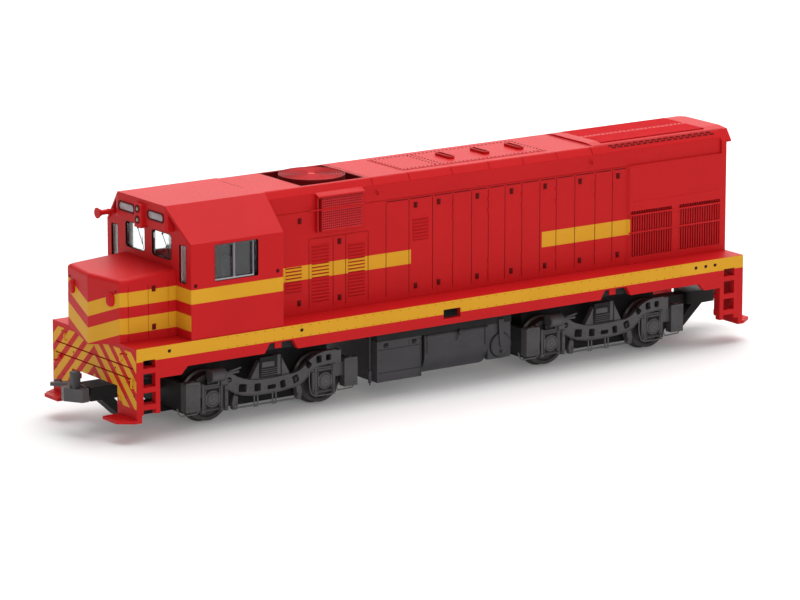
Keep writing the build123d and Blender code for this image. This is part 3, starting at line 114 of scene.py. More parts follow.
# ------------ drawing solids
class Shape:
    """Solids of one piece, drawn in millimetres through a matrix that places or mirrors them."""

    drawn = []

    def __init__(self, name, material, body=BODY):
        self.name, self.material, self.body, self.sharp = name, material, body, 35.0
        self.mesh = bmesh.new()
        self.matrix = Matrix.Identity(4)
        self.drawn.append(self)

    def side(self, side):
        """Draw on one side: y then counts outwards from the middle."""
        self.matrix = Matrix.Diagonal((1, side, 1, 1))

    def bogie(self, centre, side):
        """Draw on one side of a bogie, about its pivot; the two sides are turned, not mirrored."""
        turn = Matrix.Rotation(math.pi if side > 0 else 0.0, 4, "Z")
        self.matrix = Matrix.Translation((centre, 0, 0)) @ turn @ Matrix.Diagonal((1, -1, 1, 1))

    def place(self, verts, local):
        bmesh.ops.transform(self.mesh, matrix=self.matrix @ local, verts=verts)

    def round(self, edges, bevel, **more):
        if bevel:
            bmesh.ops.bevel(self.mesh, geom=edges, offset=bevel, segments=2, affect="EDGES", profile=0.5,
                            **more)

    def round_all(self, verts, bevel):
        edges = list({edge for vert in verts for edge in vert.link_edges})
        self.round(edges, bevel, clamp_overlap=True)

    def outline(self, corners, across, place):
        """New points of an outline, drawn in the plane across X, Y or Z at a place along it."""
        at = "XYZ".index(across)
        return [self.mesh.verts.new(self.matrix @ Vector((*corner[:at], place, *corner[at:])))
                for corner in corners]

    def skin(self, loops, closed):
        """Four-sided faces between neighbouring loops, and from the last to the first if closed."""
        pairs = list(zip(loops, loops[1:] + loops[:1]))
        for first, second in pairs if closed else pairs[:-1]:
            for i in range(len(first)):
                j = (i + 1) % len(first)
                self.mesh.faces.new((first[i], first[j], second[j], second[i]))

    def block(self, x, y, z, bevel=0.0):
        """A box between (low, high) pairs, with rounded edges."""
        verts = bmesh.ops.create_cube(self.mesh, size=1.0)["verts"]
        size = Vector([abs(high - low) for low, high in (x, y, z)])
        bmesh.ops.scale(self.mesh, vec=size, verts=verts)
        self.place(verts, Matrix.Translation([sum(pair) / 2 for pair in (x, y, z)]))
        self.round_all(verts, bevel)

    def rod(self, start, end, radius, sides=12, tip=None, bevel=0.0):
        """A round bar from start to end, with another radius at its tip if one is given."""
        start, end = Vector(start), Vector(end)
        along = end - start
        made = bmesh.ops.create_cone(self.mesh, cap_ends=True, segments=sides, radius1=radius,
                                     radius2=radius if tip is None else tip, depth=along.length)
        turn = Z.rotation_difference(along).to_matrix().to_4x4()
        self.place(made["verts"], Matrix.Translation((start + end) / 2) @ turn)
        rims = [edge for edge in {e for v in made["verts"] for e in v.link_edges}
                if any(len(face.verts) == sides for face in edge.link_faces)]
        self.round(rims, bevel)

    def peg(self, x, y, z, *size, **more):
        """A round bar along one axis, the one whose place is a (start, end) pair."""
        ends = [[place[k] if isinstance(place, tuple) else place for place in (x, y, z)] for k in (0, 1)]
        self.rod(*ends, *size, **more)

    def rivet(self, place, normal, radius, height):
        """A domed rivet head standing on a surface."""
        low, middle, top = [Vector(place) + normal * height * part for part in (-0.4, 0.6, 1.0)]
        self.rod(low, middle, radius, 8, radius * 0.92)
        self.rod(middle, top, radius * 0.92, 8, radius * 0.55)

    def prism(self, corners, across, low, high, bevel=0.0):
        """A closed outline, drawn in the plane across X, Y or Z, between two places along it."""
        first, last = [self.outline(corners, across, place) for place in (low, high)]
        self.mesh.faces.new(first)
        self.mesh.faces.new(reversed(last))
        self.skin([first, last], closed=False)
        self.round_all(first + last, bevel)

    def ring(self, outer, inner, across, low, high):
        """A flat frame between two outlines with the same number of points."""
        self.skin([self.outline(corners, across, place) for corners, place in
                   ((outer, low), (outer, high), (inner, high), (inner, low))], closed=True)

    def turned(self, section, x):
        """A ring turned about an upright axis at x, from (radius, z) points."""
        self.skin([[self.mesh.verts.new(point) for point in circle(Vector((x, 0, z)), X * r, Y * r, 72)]
                   for r, z in section], closed=True)

    def tube(self, points, radius, sides=8, closed=False):
        """A wire of round section along points, open or closed into a loop."""
        points = [self.matrix @ Vector(point) for point in points]
        count = len(points)
        rings = []
        normal = None
        for i, point in enumerate(points):
            before = points[i - 1] if i or closed else point
            after = points[(i + 1) % count] if i < count - 1 or closed else point
            along = (after - before).normalized()
            if normal is None:
                normal = along.orthogonal().normalized()
            normal = (normal - along * normal.dot(along)).normalized()
            third = along.cross(normal)
            rings.append([self.mesh.verts.new(place)
                          for place in circle(point, radius * normal, radius * third, sides)])
        self.skin(rings, closed)
        if not closed:
            self.mesh.faces.new(reversed(rings[0]))
            self.mesh.faces.new(rings[-1])

    def hoop(self, centre, normal, radius, wire, segments=48, sides=8):
        """A closed ring of wire about a centre."""
        first = normal.orthogonal().normalized() * radius
        self.tube(circle(Vector(centre), first, normal.cross(first), segments), wire, sides, closed=True)

    def grab(self, start, end, out, radius=0.16, bend=0.35):
        """A grab iron: a wire handle that stands off between two feet."""
        start, end, out = Vector(start), Vector(end), Vector(out)
        along = (end - start).normalized()
        straight = out.length - bend
        step = out.normalized()
        path = [start - step * 0.15, start + step * straight]
        for k in range(1, 5):
            t = math.pi / 2 * k / 4
            path.append(start + step * (straight + bend * math.sin(t)) + along * bend * (1 - math.cos(t)))
        path += [end + (start - p).dot(along) * along + step * (p - start).dot(step)
                 for p in reversed(path)]
        self.tube(path, radius)

    def piece(self):
        """Make the object: metres, outward faces, smooth shading with sharp edges kept."""
        bmesh.ops.transform(self.mesh, matrix=Matrix.Scale(MM, 4) @ Matrix.Translation((0, 0, RAIL)),
                            verts=self.mesh.verts)
        bmesh.ops.recalc_face_normals(self.mesh, faces=self.mesh.faces)
        data = bpy.data.meshes.new(self.name)
        self.mesh.to_mesh(data)
        self.mesh.free()
        data.polygons.foreach_set("use_smooth", [True] * len(data.polygons))
        data.set_sharp_from_angle(angle=math.radians(self.sharp))
        data.materials.append(self.material)
        made = bpy.data.objects.new(self.name, data)
        bpy.context.scene.collection.objects.link(made)
        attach(made, self.body)
        return made


def draws(*sides, **looks):
    """Run the function below at once, on a new shape for each name=finish, on each of the sides."""
    def run(build):
        made = [Shape(name, material) for name, material in looks.items()]
        for side in sides or (1,):
            for shape in made:
                shape.side(side)
            build(*made)
    return run


# ------------ materials
class Value:
    """A node's output: sums with it make more nodes, & and | join masks of 0 and 1."""

    def __init__(self, finish, socket):
        self.finish, self.socket = finish, socket

    def within(self, low, high):
        return (self > low) & (self < high)


def node_sum(operation):
    return lambda *values: values[0].finish.math(operation, *values)


for sign, operation_name in {"add": "ADD", "sub": "SUBTRACT", "mul": "MULTIPLY", "mod": "MODULO",
                             "gt": "GREATER_THAN", "lt": "LESS_THAN", "and": "MULTIPLY", "or": "MAXIMUM",
                             "abs": "ABSOLUTE"}.items():
    setattr(Value, f"__{sign}__", node_sum(operation_name))


class Finish:
    """A node material, and the places on the surface that its masks are made from."""

    def __init__(self, name):
        self.material = bpy.data.materials.new(name)
        self.material.use_nodes = True
        self.tree = self.material.node_tree
        self.shader = self.tree.nodes["Principled BSDF"]
        self.place = self.node("ShaderNodeTexCoord", "Object")
        split = self.node("ShaderNodeSeparateXYZ", Vector=self.place).socket.node
        self.x, y, height = [Value(self, socket) * (1 / MM) for socket in split.outputs]
        self.z, self.out = height - RAIL, abs(y)

    def node(self, kind, output=0, **inputs):
        made = self.tree.nodes.new(kind)
        for name, value in inputs.items():
            self.feed(made.inputs[name.replace("_", " ")], value)
        return Value(self, made.outputs[output])

    def feed(self, socket, value):
        if isinstance(value, Value):
            self.tree.links.new(value.socket, socket)
        else:
            socket.default_value = value

    def math(self, operation, *values, kind="ShaderNodeMath", output=0):
        made = self.tree.nodes.new(kind)
        made.operation = operation
        for socket, value in zip(made.inputs, values):
            self.feed(socket, value)
        return Value(self, made.outputs[output])

    def mix(self, factor, first, second):
        made = self.tree.nodes.new("ShaderNodeMix")
        made.data_type = "RGBA"
        for k, value in ((0, factor), (6, first), (7, second)):
            self.feed(made.inputs[k], value)
        return Value(self, made.outputs[2])

    def noise(self, per_mm, detail=3.0, roughness=0.5):
        return self.node("ShaderNodeTexNoise", "Fac", Vector=self.place, Scale=per_mm / MM, Detail=detail,
                         Roughness=roughness)

    def ramp(self, value, low, high, start, end):
        """The value's range low..high mapped on start..end, and held outside it."""
        return self.node("ShaderNodeMapRange", Value=value, From_Min=low, From_Max=high, To_Min=start,
                         To_Max=end)

    def surface(self, colour, roughness, bump_mm, height, edge=0.12, **sockets):
        """Set colour, roughness, bump over softened edges, and any constant sockets."""
        self.feed(self.shader.inputs["Base Color"], colour)
        self.feed(self.shader.inputs["Roughness"], roughness)
        normal = self.node("ShaderNodeBevel", Radius=edge * MM)
        normal.socket.node.samples = 4
        self.feed(self.shader.inputs["Normal"], self.node(
            "ShaderNodeBump", Strength=0.6, Distance=bump_mm * MM, Height=height, Normal=normal))
        for name, value in sockets.items():
            self.shader.inputs[name.replace("_", " ")].default_value = value
        return self.material


RED = (0.515, 0.0085, 0.0105, 1)
RED_SHADE = (0.46, 0.0072, 0.009, 1)
YELLOW = (0.67, 0.33, 0.018, 1)
YELLOW_SHADE = (0.6, 0.285, 0.009, 1)
# dark orange ticks on the sill's yellow band: painted shade of small rivet heads
TICK_SHADE = (0.36, 0.1, 0.01, 1)
# near black on the cab's inside faces: painted shade
INSIDE_SHADE = (0.022, 0.006, 0.006, 1)


def sill_ticks(finish):
    """Small dark ticks in two rows along the sill's band, painted as the shade of its rivet heads."""
    pitch = SILL_TICKS["pitch"]
    ticks = (finish.x + pitch * 100) % pitch < SILL_TICKS["wide"]
    lower, upper = [finish.z.within(*row) for row in SILL_TICKS["rows"]]
    return ticks & (lower | upper) & sill_mask(finish) & finish.x.within(*SILL_TICKS["along"])


def paint(name, mask=None, marks=None, mark=TICK_SHADE):
    """Satin model paint in the body colour, with yellow where the mask is 1."""
    finish = Finish(name)
    patches = finish.ramp(finish.noise(0.08, 2.0), 0.35, 0.65, 0.0, 1.0)
    shade = patches * 0.35
    colour = finish.mix(shade, RED, RED_SHADE)
    if mask:
        yellow = finish.mix(shade, YELLOW, YELLOW_SHADE)
        colour = finish.mix(mask(finish), colour, yellow)
    if marks:
        colour = finish.mix(marks(finish), colour, mark)
    grain = finish.noise(3.2, 3.0, 0.6)
    rough = finish.ramp(grain, 0.3, 0.7, 0.4, 0.52)
    return finish.surface(colour, rough, 0.012, grain, Specular_IOR_Level=0.12)


UPPER_STRIPE = (26.85, 29.82)
LOWER_STRIPE = (21.15, 24.45)
CHEVRON_SLOPE = 0.354
HOOD_STRIPES = [((-60.0, -6.1), (26.8, 29.85)), ((28.4, 52.0), (26.0, 29.4))]
HAZARD = dict(slope=0.93, pitch=4.1, first=18.15, wide=2.3, bottom=6.6, half=16.3, top=17.4, rise=0.15,
              shoulder=10.0)             # beyond the shoulder the bars reach up to the deck
SILL_BAND = (16.5, DECK_TOP - 0.03)
SILL_TICKS = dict(pitch=2.27, wide=0.22, rows=((16.62, 16.86), (18.76, 19.0)),
                  along=(CAB_FRONT + 6.5, FRAME_END - 17.0))


def chevrons(finish, end):
    """V-shaped stripes over one end of the body, level beyond the nose's corners."""
    reach = (finish.out - NOSE_CORNER_Y) * -1 | 0.0
    height = reach * CHEVRON_SLOPE + finish.z
    face = -CAB_FRONT if end < 0 else REAR_END
    return (height.within(*UPPER_STRIPE) | height.within(*LOWER_STRIPE)) & (finish.x * end > face - 0.05)


def cab_mask(finish):
    return finish.z.within(*UPPER_STRIPE) & (finish.out > CAB_HALF - 0.3) | chevrons(finish, -1)


def cab_inside(finish):
    """1 on the faces that look into the cab, which are painted near black as shade."""
    centre = Vector(((CAB_FRONT + CAB_BACK) / 2, 0, 33.0 + RAIL)) * MM
    offset = finish.math("SUBTRACT", finish.place, centre, kind="ShaderNodeVectorMath")
    normal = finish.node("ShaderNodeNewGeometry", "True Normal")
    facing = finish.math("DOT_PRODUCT", offset, normal, kind="ShaderNodeVectorMath", output="Value")
    return (facing < 0.0) & finish.x.within(*inset((CAB_FRONT, CAB_BACK), 0.3))


def hood_mask(finish):
    first, second = [finish.x.within(*along) & finish.z.within(*up) for along, up in HOOD_STRIPES]
    return (first | second) & (finish.out > HOOD_HALF - 0.6) | chevrons(finish, 1)


def sill_mask(finish):
    return finish.z.within(*SILL_BAND) & (finish.out > DECK_HALF - 0.05)


def hazard_mask(finish):
    """Yellow bars that rise to the middle, on the outer face of the pilots."""
    shift = HAZARD["pitch"] * 10 - HAZARD["first"] + HAZARD["wide"] / 2
    bars = (finish.out * HAZARD["slope"] + finish.z + shift) % HAZARD["pitch"] < HAZARD["wide"]
    face = ((abs(finish.x) > FRAME_END - 0.06) & (finish.z > HAZARD["bottom"])
            & (finish.out < HAZARD["half"]))
    top = finish.out * HAZARD["rise"] + HAZARD["top"]
    below_top = (finish.out > HAZARD["shoulder"]) | (finish.z < top)
    return bars & face & below_top | sill_mask(finish)


def plastic(name, light, dark, rough=(0.5, 0.65), specular=0.5, **sockets):
    """Bare moulded plastic with a faint mottling between two colours."""
    finish = Finish(name)
    grain = finish.noise(2.2, 4.0, 0.6)
    patches = finish.ramp(finish.noise(0.25, 3.0), 0.3, 0.7, 0.0, 1.0)
    colour = finish.mix(patches, (*light, 1), (*dark, 1))
    return finish.surface(colour, finish.ramp(grain, 0.3, 0.7, *rough), 0.015, grain, 0.1,
                          Specular_IOR_Level=specular, **sockets)


def glass(name, tint):
    finish = Finish(name)
    ripple = finish.noise(0.3, 2.0)
    return finish.surface(tint, finish.ramp(ripple, 0.3, 0.7, 0.02, 0.07), 0.004, ripple, 0.02,
                          Transmission_Weight=1.0, IOR=1.45)


def window_frame(name):
    """Sash frames: silver along the bottom, purplish grey at the middle and the end, dark elsewhere."""
    finish = Finish(name)
    upright = (abs(finish.x - SASH_MIDDLE) < 0.22) | (finish.x > SASH_END_X - 0.32)
    sill = finish.z < SASH_SILL_Z + 0.36
    grain = finish.noise(2.0, 3.0)
    frame_grey = finish.mix(upright, (0.075, 0.07, 0.078, 1), (0.2, 0.165, 0.2, 1))
    return finish.surface(finish.mix(sill, frame_grey, (0.42, 0.42, 0.44, 1)),
                          finish.ramp(grain, 0.3, 0.7, 0.3, 0.42), 0.006, grain, 0.05, Metallic=0.35)


def wheel_metal(name):
    """Blackened wheel with a bright tread, told apart by the distance from the axle."""
    finish = Finish(name)
    from_axle = abs(abs(finish.x) - BOGIE_X) - WHEELBASE / 2
    height = finish.z - AXLE_Z
    radius = finish.math("SQRT", from_axle * from_axle + height * height)
    tread = (radius > 4.85) & (finish.out > 7.0)
    grain = finish.noise(1.5, 3.0)
    dark = finish.mix(finish.ramp(grain, 0.3, 0.7, 0.0, 1.0), (0.022, 0.021, 0.021, 1),
                      (0.038, 0.036, 0.035, 1))
    finish.feed(finish.shader.inputs["Metallic"], finish.ramp(tread, 0.0, 1.0, 0.2, 0.7))
    return finish.surface(finish.mix(tread, dark, (0.065, 0.06, 0.056, 1)),
                          finish.ramp(tread, 0.0, 1.0, 0.5, 0.4), 0.008, grain)


# the cab's inside faces are painted near black as shade
CAB_PAINT = paint("cab_paint", cab_mask, marks=cab_inside, mark=INSIDE_SHADE)
HOOD_PAINT = paint("hood_paint", hood_mask)
SILL_PAINT = paint("sill_paint", sill_mask, marks=sill_ticks)
PILOT_PAINT = paint("pilot_paint", hazard_mask)
RED_PAINT = paint("red_paint")
# black: the own colour of wipers, grab irons and mounts, and painted shade in recesses and holes
BLACK_AND_SHADE = plastic("black_plastic", (0.009, 0.009, 0.0095), (0.014, 0.0135, 0.014), specular=0.2)
GREY = plastic("grey_plastic", (0.046, 0.043, 0.046), (0.063, 0.059, 0.063), (0.42, 0.6))
TANK = plastic("tank_plastic", (0.025, 0.024, 0.027), (0.034, 0.032, 0.036), (0.45, 0.6))
SILVER = window_frame("silver_plastic")
PALE = plastic("board_plastic", (0.3, 0.26, 0.28), (0.42, 0.37, 0.39), (0.25, 0.35))
# dark red: painted shade on the hatch rivets, in the vent floors and in the rear grilles; also the seams'
# and bolts' dark colour
DARK_RED_AND_SHADE = plastic("dark_red_and_painted_shade", (0.055, 0.002, 0.0023), (0.085, 0.0026, 0.003), specular=0.1)
# louvre gaps: red left bare by the stripes, darkened as painted shade
LOUVRE_GAP_SHADE = plastic("louvre_gap_shade", (0.38, 0.0045, 0.0055), (0.34, 0.004, 0.005), specular=0.1)
# dark red: painted shade on the latches, the nose knob and the roof slots; also the beads and rims round
# the boards and headlights
LATCH_SHADE_AND_TRIM = plastic("latch_shade_and_trim", (0.105, 0.003, 0.0036), (0.135, 0.0034, 0.004), specular=0.12)
SCREEN_RED = plastic("screen_plastic", (0.47, 0.007, 0.011), (0.43, 0.006, 0.01), (0.7, 0.8), specular=0.03)
# dark red of the door seams, and painted shade in the fan well and drum, behind the intake mesh, behind the
# radiator fins and above the doors
GAP_AND_SHADE_RED = plastic("gap_and_painted_shade", (0.13, 0.0025, 0.003), (0.17, 0.003, 0.0035), specular=0.1)
# red lighter than the body paint on the mesh and fan guard wires: painted highlight
MESH_HIGHLIGHT_RED = plastic("mesh_painted_highlight", (0.62, 0.024, 0.03), (0.56, 0.02, 0.026), specular=0.2)
RUBBER = plastic("gasket_plastic", (0.028, 0.0035, 0.004), (0.04, 0.004, 0.0045), specular=0.12)
# pale pinkish grey behind the narrow windows: painted light seen through the glass
PANE_PAINTED_LIGHT = plastic("window_back_painted_light", (0.46, 0.38, 0.39), (0.56, 0.47, 0.48), (0.2, 0.3))
# near white inside panels: painted light, seen through the windshield
WALL_PAINTED_LIGHT = plastic("inside_panel_painted_light", (0.86, 0.84, 0.84), (0.8, 0.78, 0.78))
WIRE = plastic("wire_plastic", (0.085, 0.083, 0.086), (0.11, 0.107, 0.11), (0.4, 0.5))
LENS = plastic("lens_plastic", (0.16, 0.12, 0.085), (0.22, 0.17, 0.12), (0.08, 0.16), Coat_Weight=0.8)
CLEAR = glass("clear_glass", (0.96, 0.98, 0.98, 1))
SIDE_GLASS = glass("side_glass_tint", (0.9, 0.94, 0.94, 1))
WHEEL = wheel_metal("wheel_metal")
CAST = plastic("cast_metal", (0.2, 0.2, 0.21), (0.28, 0.28, 0.28), Metallic=0.8)

# slots of the looser pieces; all others have red_plastic
ENDS = {"front": -1, "rear": 1}
NODE_FINISH = {
    CAB_PAINT: ["cab", "short_hood", "visor"],
    HOOD_PAINT: ["long_hood", "rear_hood"],
    SILL_PAINT: ["underframe", "front_steps", "rear_steps"],
    PILOT_PAINT: ["front_pilot", "rear_pilot"],
    RED_PAINT: ["horn", "nose_lamps", "roof_hatch", "roof_vents", "roof_fan", "rear_roof"],
    DARK_RED_AND_SHADE: ["rear_grilles"],
    GAP_AND_SHADE_RED: ["fan_well"],
    BLACK_AND_SHADE: ["bogie_mounts", "tank_saddle", "front_bogie_block", "rear_bogie_block"],
    TANK: ["battery_box", "fuel_tank", "air_reservoir", "reservoir_brackets"],
    GREY: [f"{end}_{part}" for end in ENDS for part in ("bogie_left_side", "bogie_right_side", "coupler")],
    PALE: ["number_boards"],
    LENS: ["headlights"],
    CLEAR: ["cab_glass"],
    SIDE_GLASS: ["side_glass"],
    SILVER: ["side_window_frames"],
    CAST: ["chassis_weight"],
    WHEEL: [f"{end}_{place}_wheelset" for end in ENDS for place in ("outer", "inner")],
}
for finish_material, names in NODE_FINISH.items():
    for node_name in names:
        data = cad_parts[node_name].data
        data.materials.clear()
        data.materials.append(finish_material)

# ------------ camera and light
CAMERA_AT = (-594.18, -848.71, 254.99)          # millimetres, in the frame's own height
CAMERA_YAW = 0.60916                            # towards +X from +Y
CAMERA_PITCH = 0.22595                          # downwards
CAMERA_ROLL = 0.0009
FOCAL_PIXELS = 4952.3
SENSOR = 36.0
PHOTO_WIDTH = 800

camera_data = bpy.data.cameras.new("photo_camera")
camera_data.sensor_width = SENSOR
camera_data.lens = FOCAL_PIXELS * SENSOR / PHOTO_WIDTH
camera_data.clip_start = 0.05
camera_data.clip_end = 20.0
camera = bpy.data.objects.new("photo_camera", camera_data)
camera.location = Vector(CAMERA_AT) * MM
camera.rotation_mode = "XYZ"
turned = (Matrix.Rotation(-CAMERA_YAW, 4, "Z") @ Matrix.Rotation(math.pi / 2 - CAMERA_PITCH, 4, "X")
          @ Matrix.Rotation(CAMERA_ROLL, 4, "Z"))
camera.rotation_euler = turned.to_euler("XYZ")
bpy.context.scene.collection.objects.link(camera)
bpy.context.scene.camera = camera


def softbox(name, place, aim, size, power):
    """A soft light with a rectangular face, placed and aimed in metres."""
    light = bpy.data.lights.new(name, "AREA")
    light.shape = "RECTANGLE"
    light.size, light.size_y = size
    light.energy = power
    made = bpy.data.objects.new(name, light)
    made.location = place
    made.rotation_euler = (Vector(aim) - Vector(place)).to_track_quat("-Z", "Y").to_euler()
    bpy.context.scene.collection.objects.link(made)


softbox("overhead", (0.3, 0.22, 1.02), (0, 0, 0), (1.4, 1.2), 18.5)
softbox("back", (0.65, 0.95, 0.4), (0, 0, 0.03), (1.7, 0.55), 4.0)
softbox("front_fill", (-0.35, -1.3, 0.55), (0, 0, 0.02), (1.0, 0.8), 5.0)


def set_sockets(node, values):
    for name, value in values.items():
        node.inputs[name].default_value = value


world = bpy.data.worlds.new("studio")
world.use_nodes = True
set_sockets(world.node_tree.nodes["Background"], {"Color": (1.0, 1.0, 1.0, 1), "Strength": 0.42})
bpy.context.scene.world = world
bpy.context.scene.view_settings.view_transform = "Standard"

floor_material = bpy.data.materials.new("floor_white")
floor_material.use_nodes = True
set_sockets(floor_material.node_tree.nodes["Principled BSDF"], {
    "Base Color": (0.72, 0.72, 0.72, 1), "Roughness": 0.8, "Specular IOR Level": 0.2,
    "Emission Color": (1.0, 1.0, 1.0, 1), "Emission Strength": 0.12})
bpy.ops.mesh.primitive_plane_add(size=12.0, location=(0, 0, 0))
floor = bpy.context.object
floor.name = "floor"
floor.data.materials.append(floor_material)


# ------------ small parts
def latch(shape, x, face, z):
    """A door latch on a wall at y = face: a plate, a boss and a drop handle."""
    shape.block(about(x, 0.46), about(face, 0.1), about(z, 0.62), 0.06)
    shape.block(about(x, 0.3), near(face, 0, 0.34), near(z, -0.1, 0.46), 0.08)
    shape.peg(x, face + 0.26, near(z, 0.1, -0.5), 0.11, 8)


def bolt(shape, place, normal, radius, height):
    """A bolt head: a washer and a six-sided head."""
    place = Vector(place)
    shape.rod(place - normal * 0.1, place + normal * height * 0.35, radius * 1.3, 14)
    shape.rod(place, place + normal * height, radius, 6, bevel=0.03)


def rounded(a, b, radius, by=0):
    """Outline points of a rectangle with round corners, between pairs a and b drawn in by a distance."""
    a, b = inset(a, by), inset(b, by)
    corners = [(a[1] - radius, b[1] - radius, 0), (a[0] + radius, b[1] - radius, 90),
               (a[0] + radius, b[0] + radius, 180), (a[1] - radius, b[0] + radius, 270)]
    return [(x + radius * math.cos(turn), y + radius * math.sin(turn)) for x, y, start in corners
            for turn in [math.radians(start + 18 * k) for k in range(6)]]


# ------------ nose
NOSE_FRONT = -FRAME_END
NOSE_PEAK = 1.4                          # how far the middle of the front stands out
NOSE_LATCH_X = NOSE_FRONT + 8
NOSE_HINGES_X = (NOSE_FRONT + 1.9, NOSE_FRONT + 11.5)
NOSE_KNOB = (8.95, 30)
LAMP_Y = 7.5


def nose_x(y):
    """Where the nose's front stands at a distance from the middle."""
    return NOSE_FRONT - NOSE_PEAK + NOSE_PEAK / NOSE_CORNER_Y * y


@draws(*SIDES, nose_latches=LATCH_SHADE_AND_TRIM, nose_hinges=CAB_PAINT)
def nose_fittings(latches, hinges):
    """Latches and hinges of the side doors, and a knob on each half of the front; the latches and knob are
    painted dark as shade.
    """
    for z in (29.9, 21.9):
        latch(latches, NOSE_LATCH_X, NOSE_HALF, z)
    for x in NOSE_HINGES_X:
        for z in (29.7, 28.9, 21.2, 20.4):
            hinges.peg(x, NOSE_HALF + 0.04, about(z, 0.3), 0.16, 10)
    y, z = NOSE_KNOB
    latches.rod((nose_x(y) + 0.1, y, z), (nose_x(y) - 0.12, y - 0.02, z), 0.22)


@draws(*SIDES, nose_lamp_lenses=RED_PAINT)
def nose_lenses(lenses):
    """Flat painted discs in the nose lamps."""
    low, high = span("nose_lamps", 2)
    x = nose_x(LAMP_Y) - 0.68
    for z in (low + 1, high - 1):
        lenses.rod((x + 0.1, LAMP_Y, z), (x - 0.02, LAMP_Y - 0.01, z), 0.48, 20, bevel=0.03)


# ------------ cab
# windows: two pairs across the wall and up it, and the corners' radius
WINDSHIELD = ((1.4, 8.9), (34.7, 40.1), 0.8)
QUARTER = ((11.9, 14.5), (30.8, 38.7), 0.4)
REAR_LIGHT = ((11.6, 14.6), (30.8, 38.7), 0.4)
SIDE_WINDOW = ((CAB_FRONT + 5.8, CAB_BACK - 6.3), (31, 38.6), 0.3)


def gasket(shape, window, face, out, lip, lining=0.05, depth=0.42, across="X"):
    """Rubber round a window: a lip on the wall and a lining in the opening."""
    a, b, radius = window
    opening = rounded(a, b, radius, 0.01)
    edge = rounded(a, b, radius + lip, -lip)
    inner = rounded(a, b, radius - 0.03, lining)
    shape.ring(edge, inner, across, face - out * 0.02, face + out * 0.02)
    shape.ring(opening, inner, across, face - out * depth, face)


@draws(*SIDES, window_gaskets=RUBBER, cab_side_bolts=DARK_RED_AND_SHADE, cab_window_backs=PANE_PAINTED_LIGHT,
       cab_inside_walls=WALL_PAINTED_LIGHT)
def cab_trim(rubber, dots, panes, walls):
    """Window gaskets, pale backs of the narrow windows painted as the light seen in them, side bolts, and
    inside wall panels painted near white as the light seen through the windshield.
    """
    gasket(rubber, WINDSHIELD, CAB_FRONT, -1, 0.03)
    for window, face, out in ((QUARTER, CAB_FRONT, -1), (REAR_LIGHT, CAB_BACK, 1)):
        gasket(rubber, window, face, out, 0.02, depth=0.28)
        panes.block((face - out, face - out * 0.85), inset(window[0], -0.2), inset(window[1], -0.2))
    gasket(rubber, SIDE_WINDOW, CAB_HALF, 1, 0.03, lining=0.03, depth=0.2, across="Y")
    walls.block(near(CAB_FRONT, 1.1, 5.4), near(CAB_HALF, -1.15, -1), (32, 39))
    for x, z in ((CAB_FRONT + 1.1, 30.6), (CAB_BACK - 1.5, 31.3)):
        dots.peg(x, about(CAB_HALF, 0.05), z, 0.42, 20)
        dots.peg(x, near(CAB_HALF, 0, 0.12), z, 0.26, 12, 0.16)


@draws(windshield_wipers=BLACK_AND_SHADE)
def windshield_wipers(wipers):
    """A windshield wiper on each side, the two not quite alike."""
    x = CAB_FRONT - 0.22
    for arm, tip in (((3.7, 39.5), (1.9, 36.3)), ((-5.8, 39.9), (-8, 36.6))):
        wipers.peg(near(x, 0.2, -0.1), *arm, 0.2)
        wipers.rod((x, *arm), (x, *tip), 0.075, 8)
        wipers.rod((x + 0.1, tip[0] + 0.35, tip[1] + 1.6), (x + 0.1, tip[0] - 0.25, tip[1] - 1), 0.06, 8)


@draws(cab_interior=GREY)
def cab_interior(inside):
    """Desk, seats and their backs, seen through the windows."""
    inside.block(near(CAB_FRONT, 2.2, 5.6), (-9, -2.6), (DECK_TOP, 35.4), 0.4)
    inside.block(near(CAB_FRONT, 2, 4.4), (-8.6, -3.4), (35.2, 36.9), 0.5)
    inside.block(near(CAB_FRONT, 3.2, 4), (-7.6, -6.9), (36.5, 38), 0.2)
    for y in (-10.6, 8):
        inside.block(near(CAB_FRONT, 9, 12.6), about(y, 2), (28.6, 29.8), 0.4)
        inside.block(near(CAB_FRONT, 12, 13), about(y, 1.9), (29.6, 34.4), 0.4)
        inside.peg(CAB_FRONT + 10.8, y, (DECK_TOP, 28.8), 0.8, 16)


POD_FRONT = VISOR_FRONT - 0.9
BOARD_Y = (2.5, 8.8)
REAR_BOARD_Y = (3, 8)
BOARD_Z = (42.6, 44.7)


@draws(*SIDES, board_beads=LATCH_SHADE_AND_TRIM, board_panels=PALE)
def board_frames(beads, boards):
    """Beads round the number boards, and the boards themselves, blank."""
    for face, out, across_y in ((VISOR_FRONT + 0.1, -1, BOARD_Y), (REAR_END + 0.02, 1, REAR_BOARD_Y)):
        edge, hole, panel = [rounded(across_y, BOARD_Z, radius, by)
                             for radius, by in ((0.75, 0.02), (0.6, 0.3), (0.55, 0.36))]
        beads.ring(edge, hole, "X", face - out * 0.12, face + out * 0.26)
        boards.prism(panel, "X", face - out * 0.12, face + out * 0.1, 0.06)


@draws(headlight_rims=LATCH_SHADE_AND_TRIM, headlight_lenses=LENS)
def headlights(rims, lenses):
    """Rims and stepped lenses of the headlights at both ends."""
    for face, out, heights in ((POD_FRONT, -1, (42.1, 44.4)), (REAR_END + 0.5, 1, (42.1, 44))):
        for z in heights:
            rims.hoop((face, 0, z), X, 0.72, 0.17, 40, 10)
            lenses.peg((face - out * 0.05, face + out * 0.1), 0, z, 0.5, 24, 0.42)
            lenses.peg((face + out * 0.1, face + out * 0.2), 0, z, 0.42, 24, 0.2)


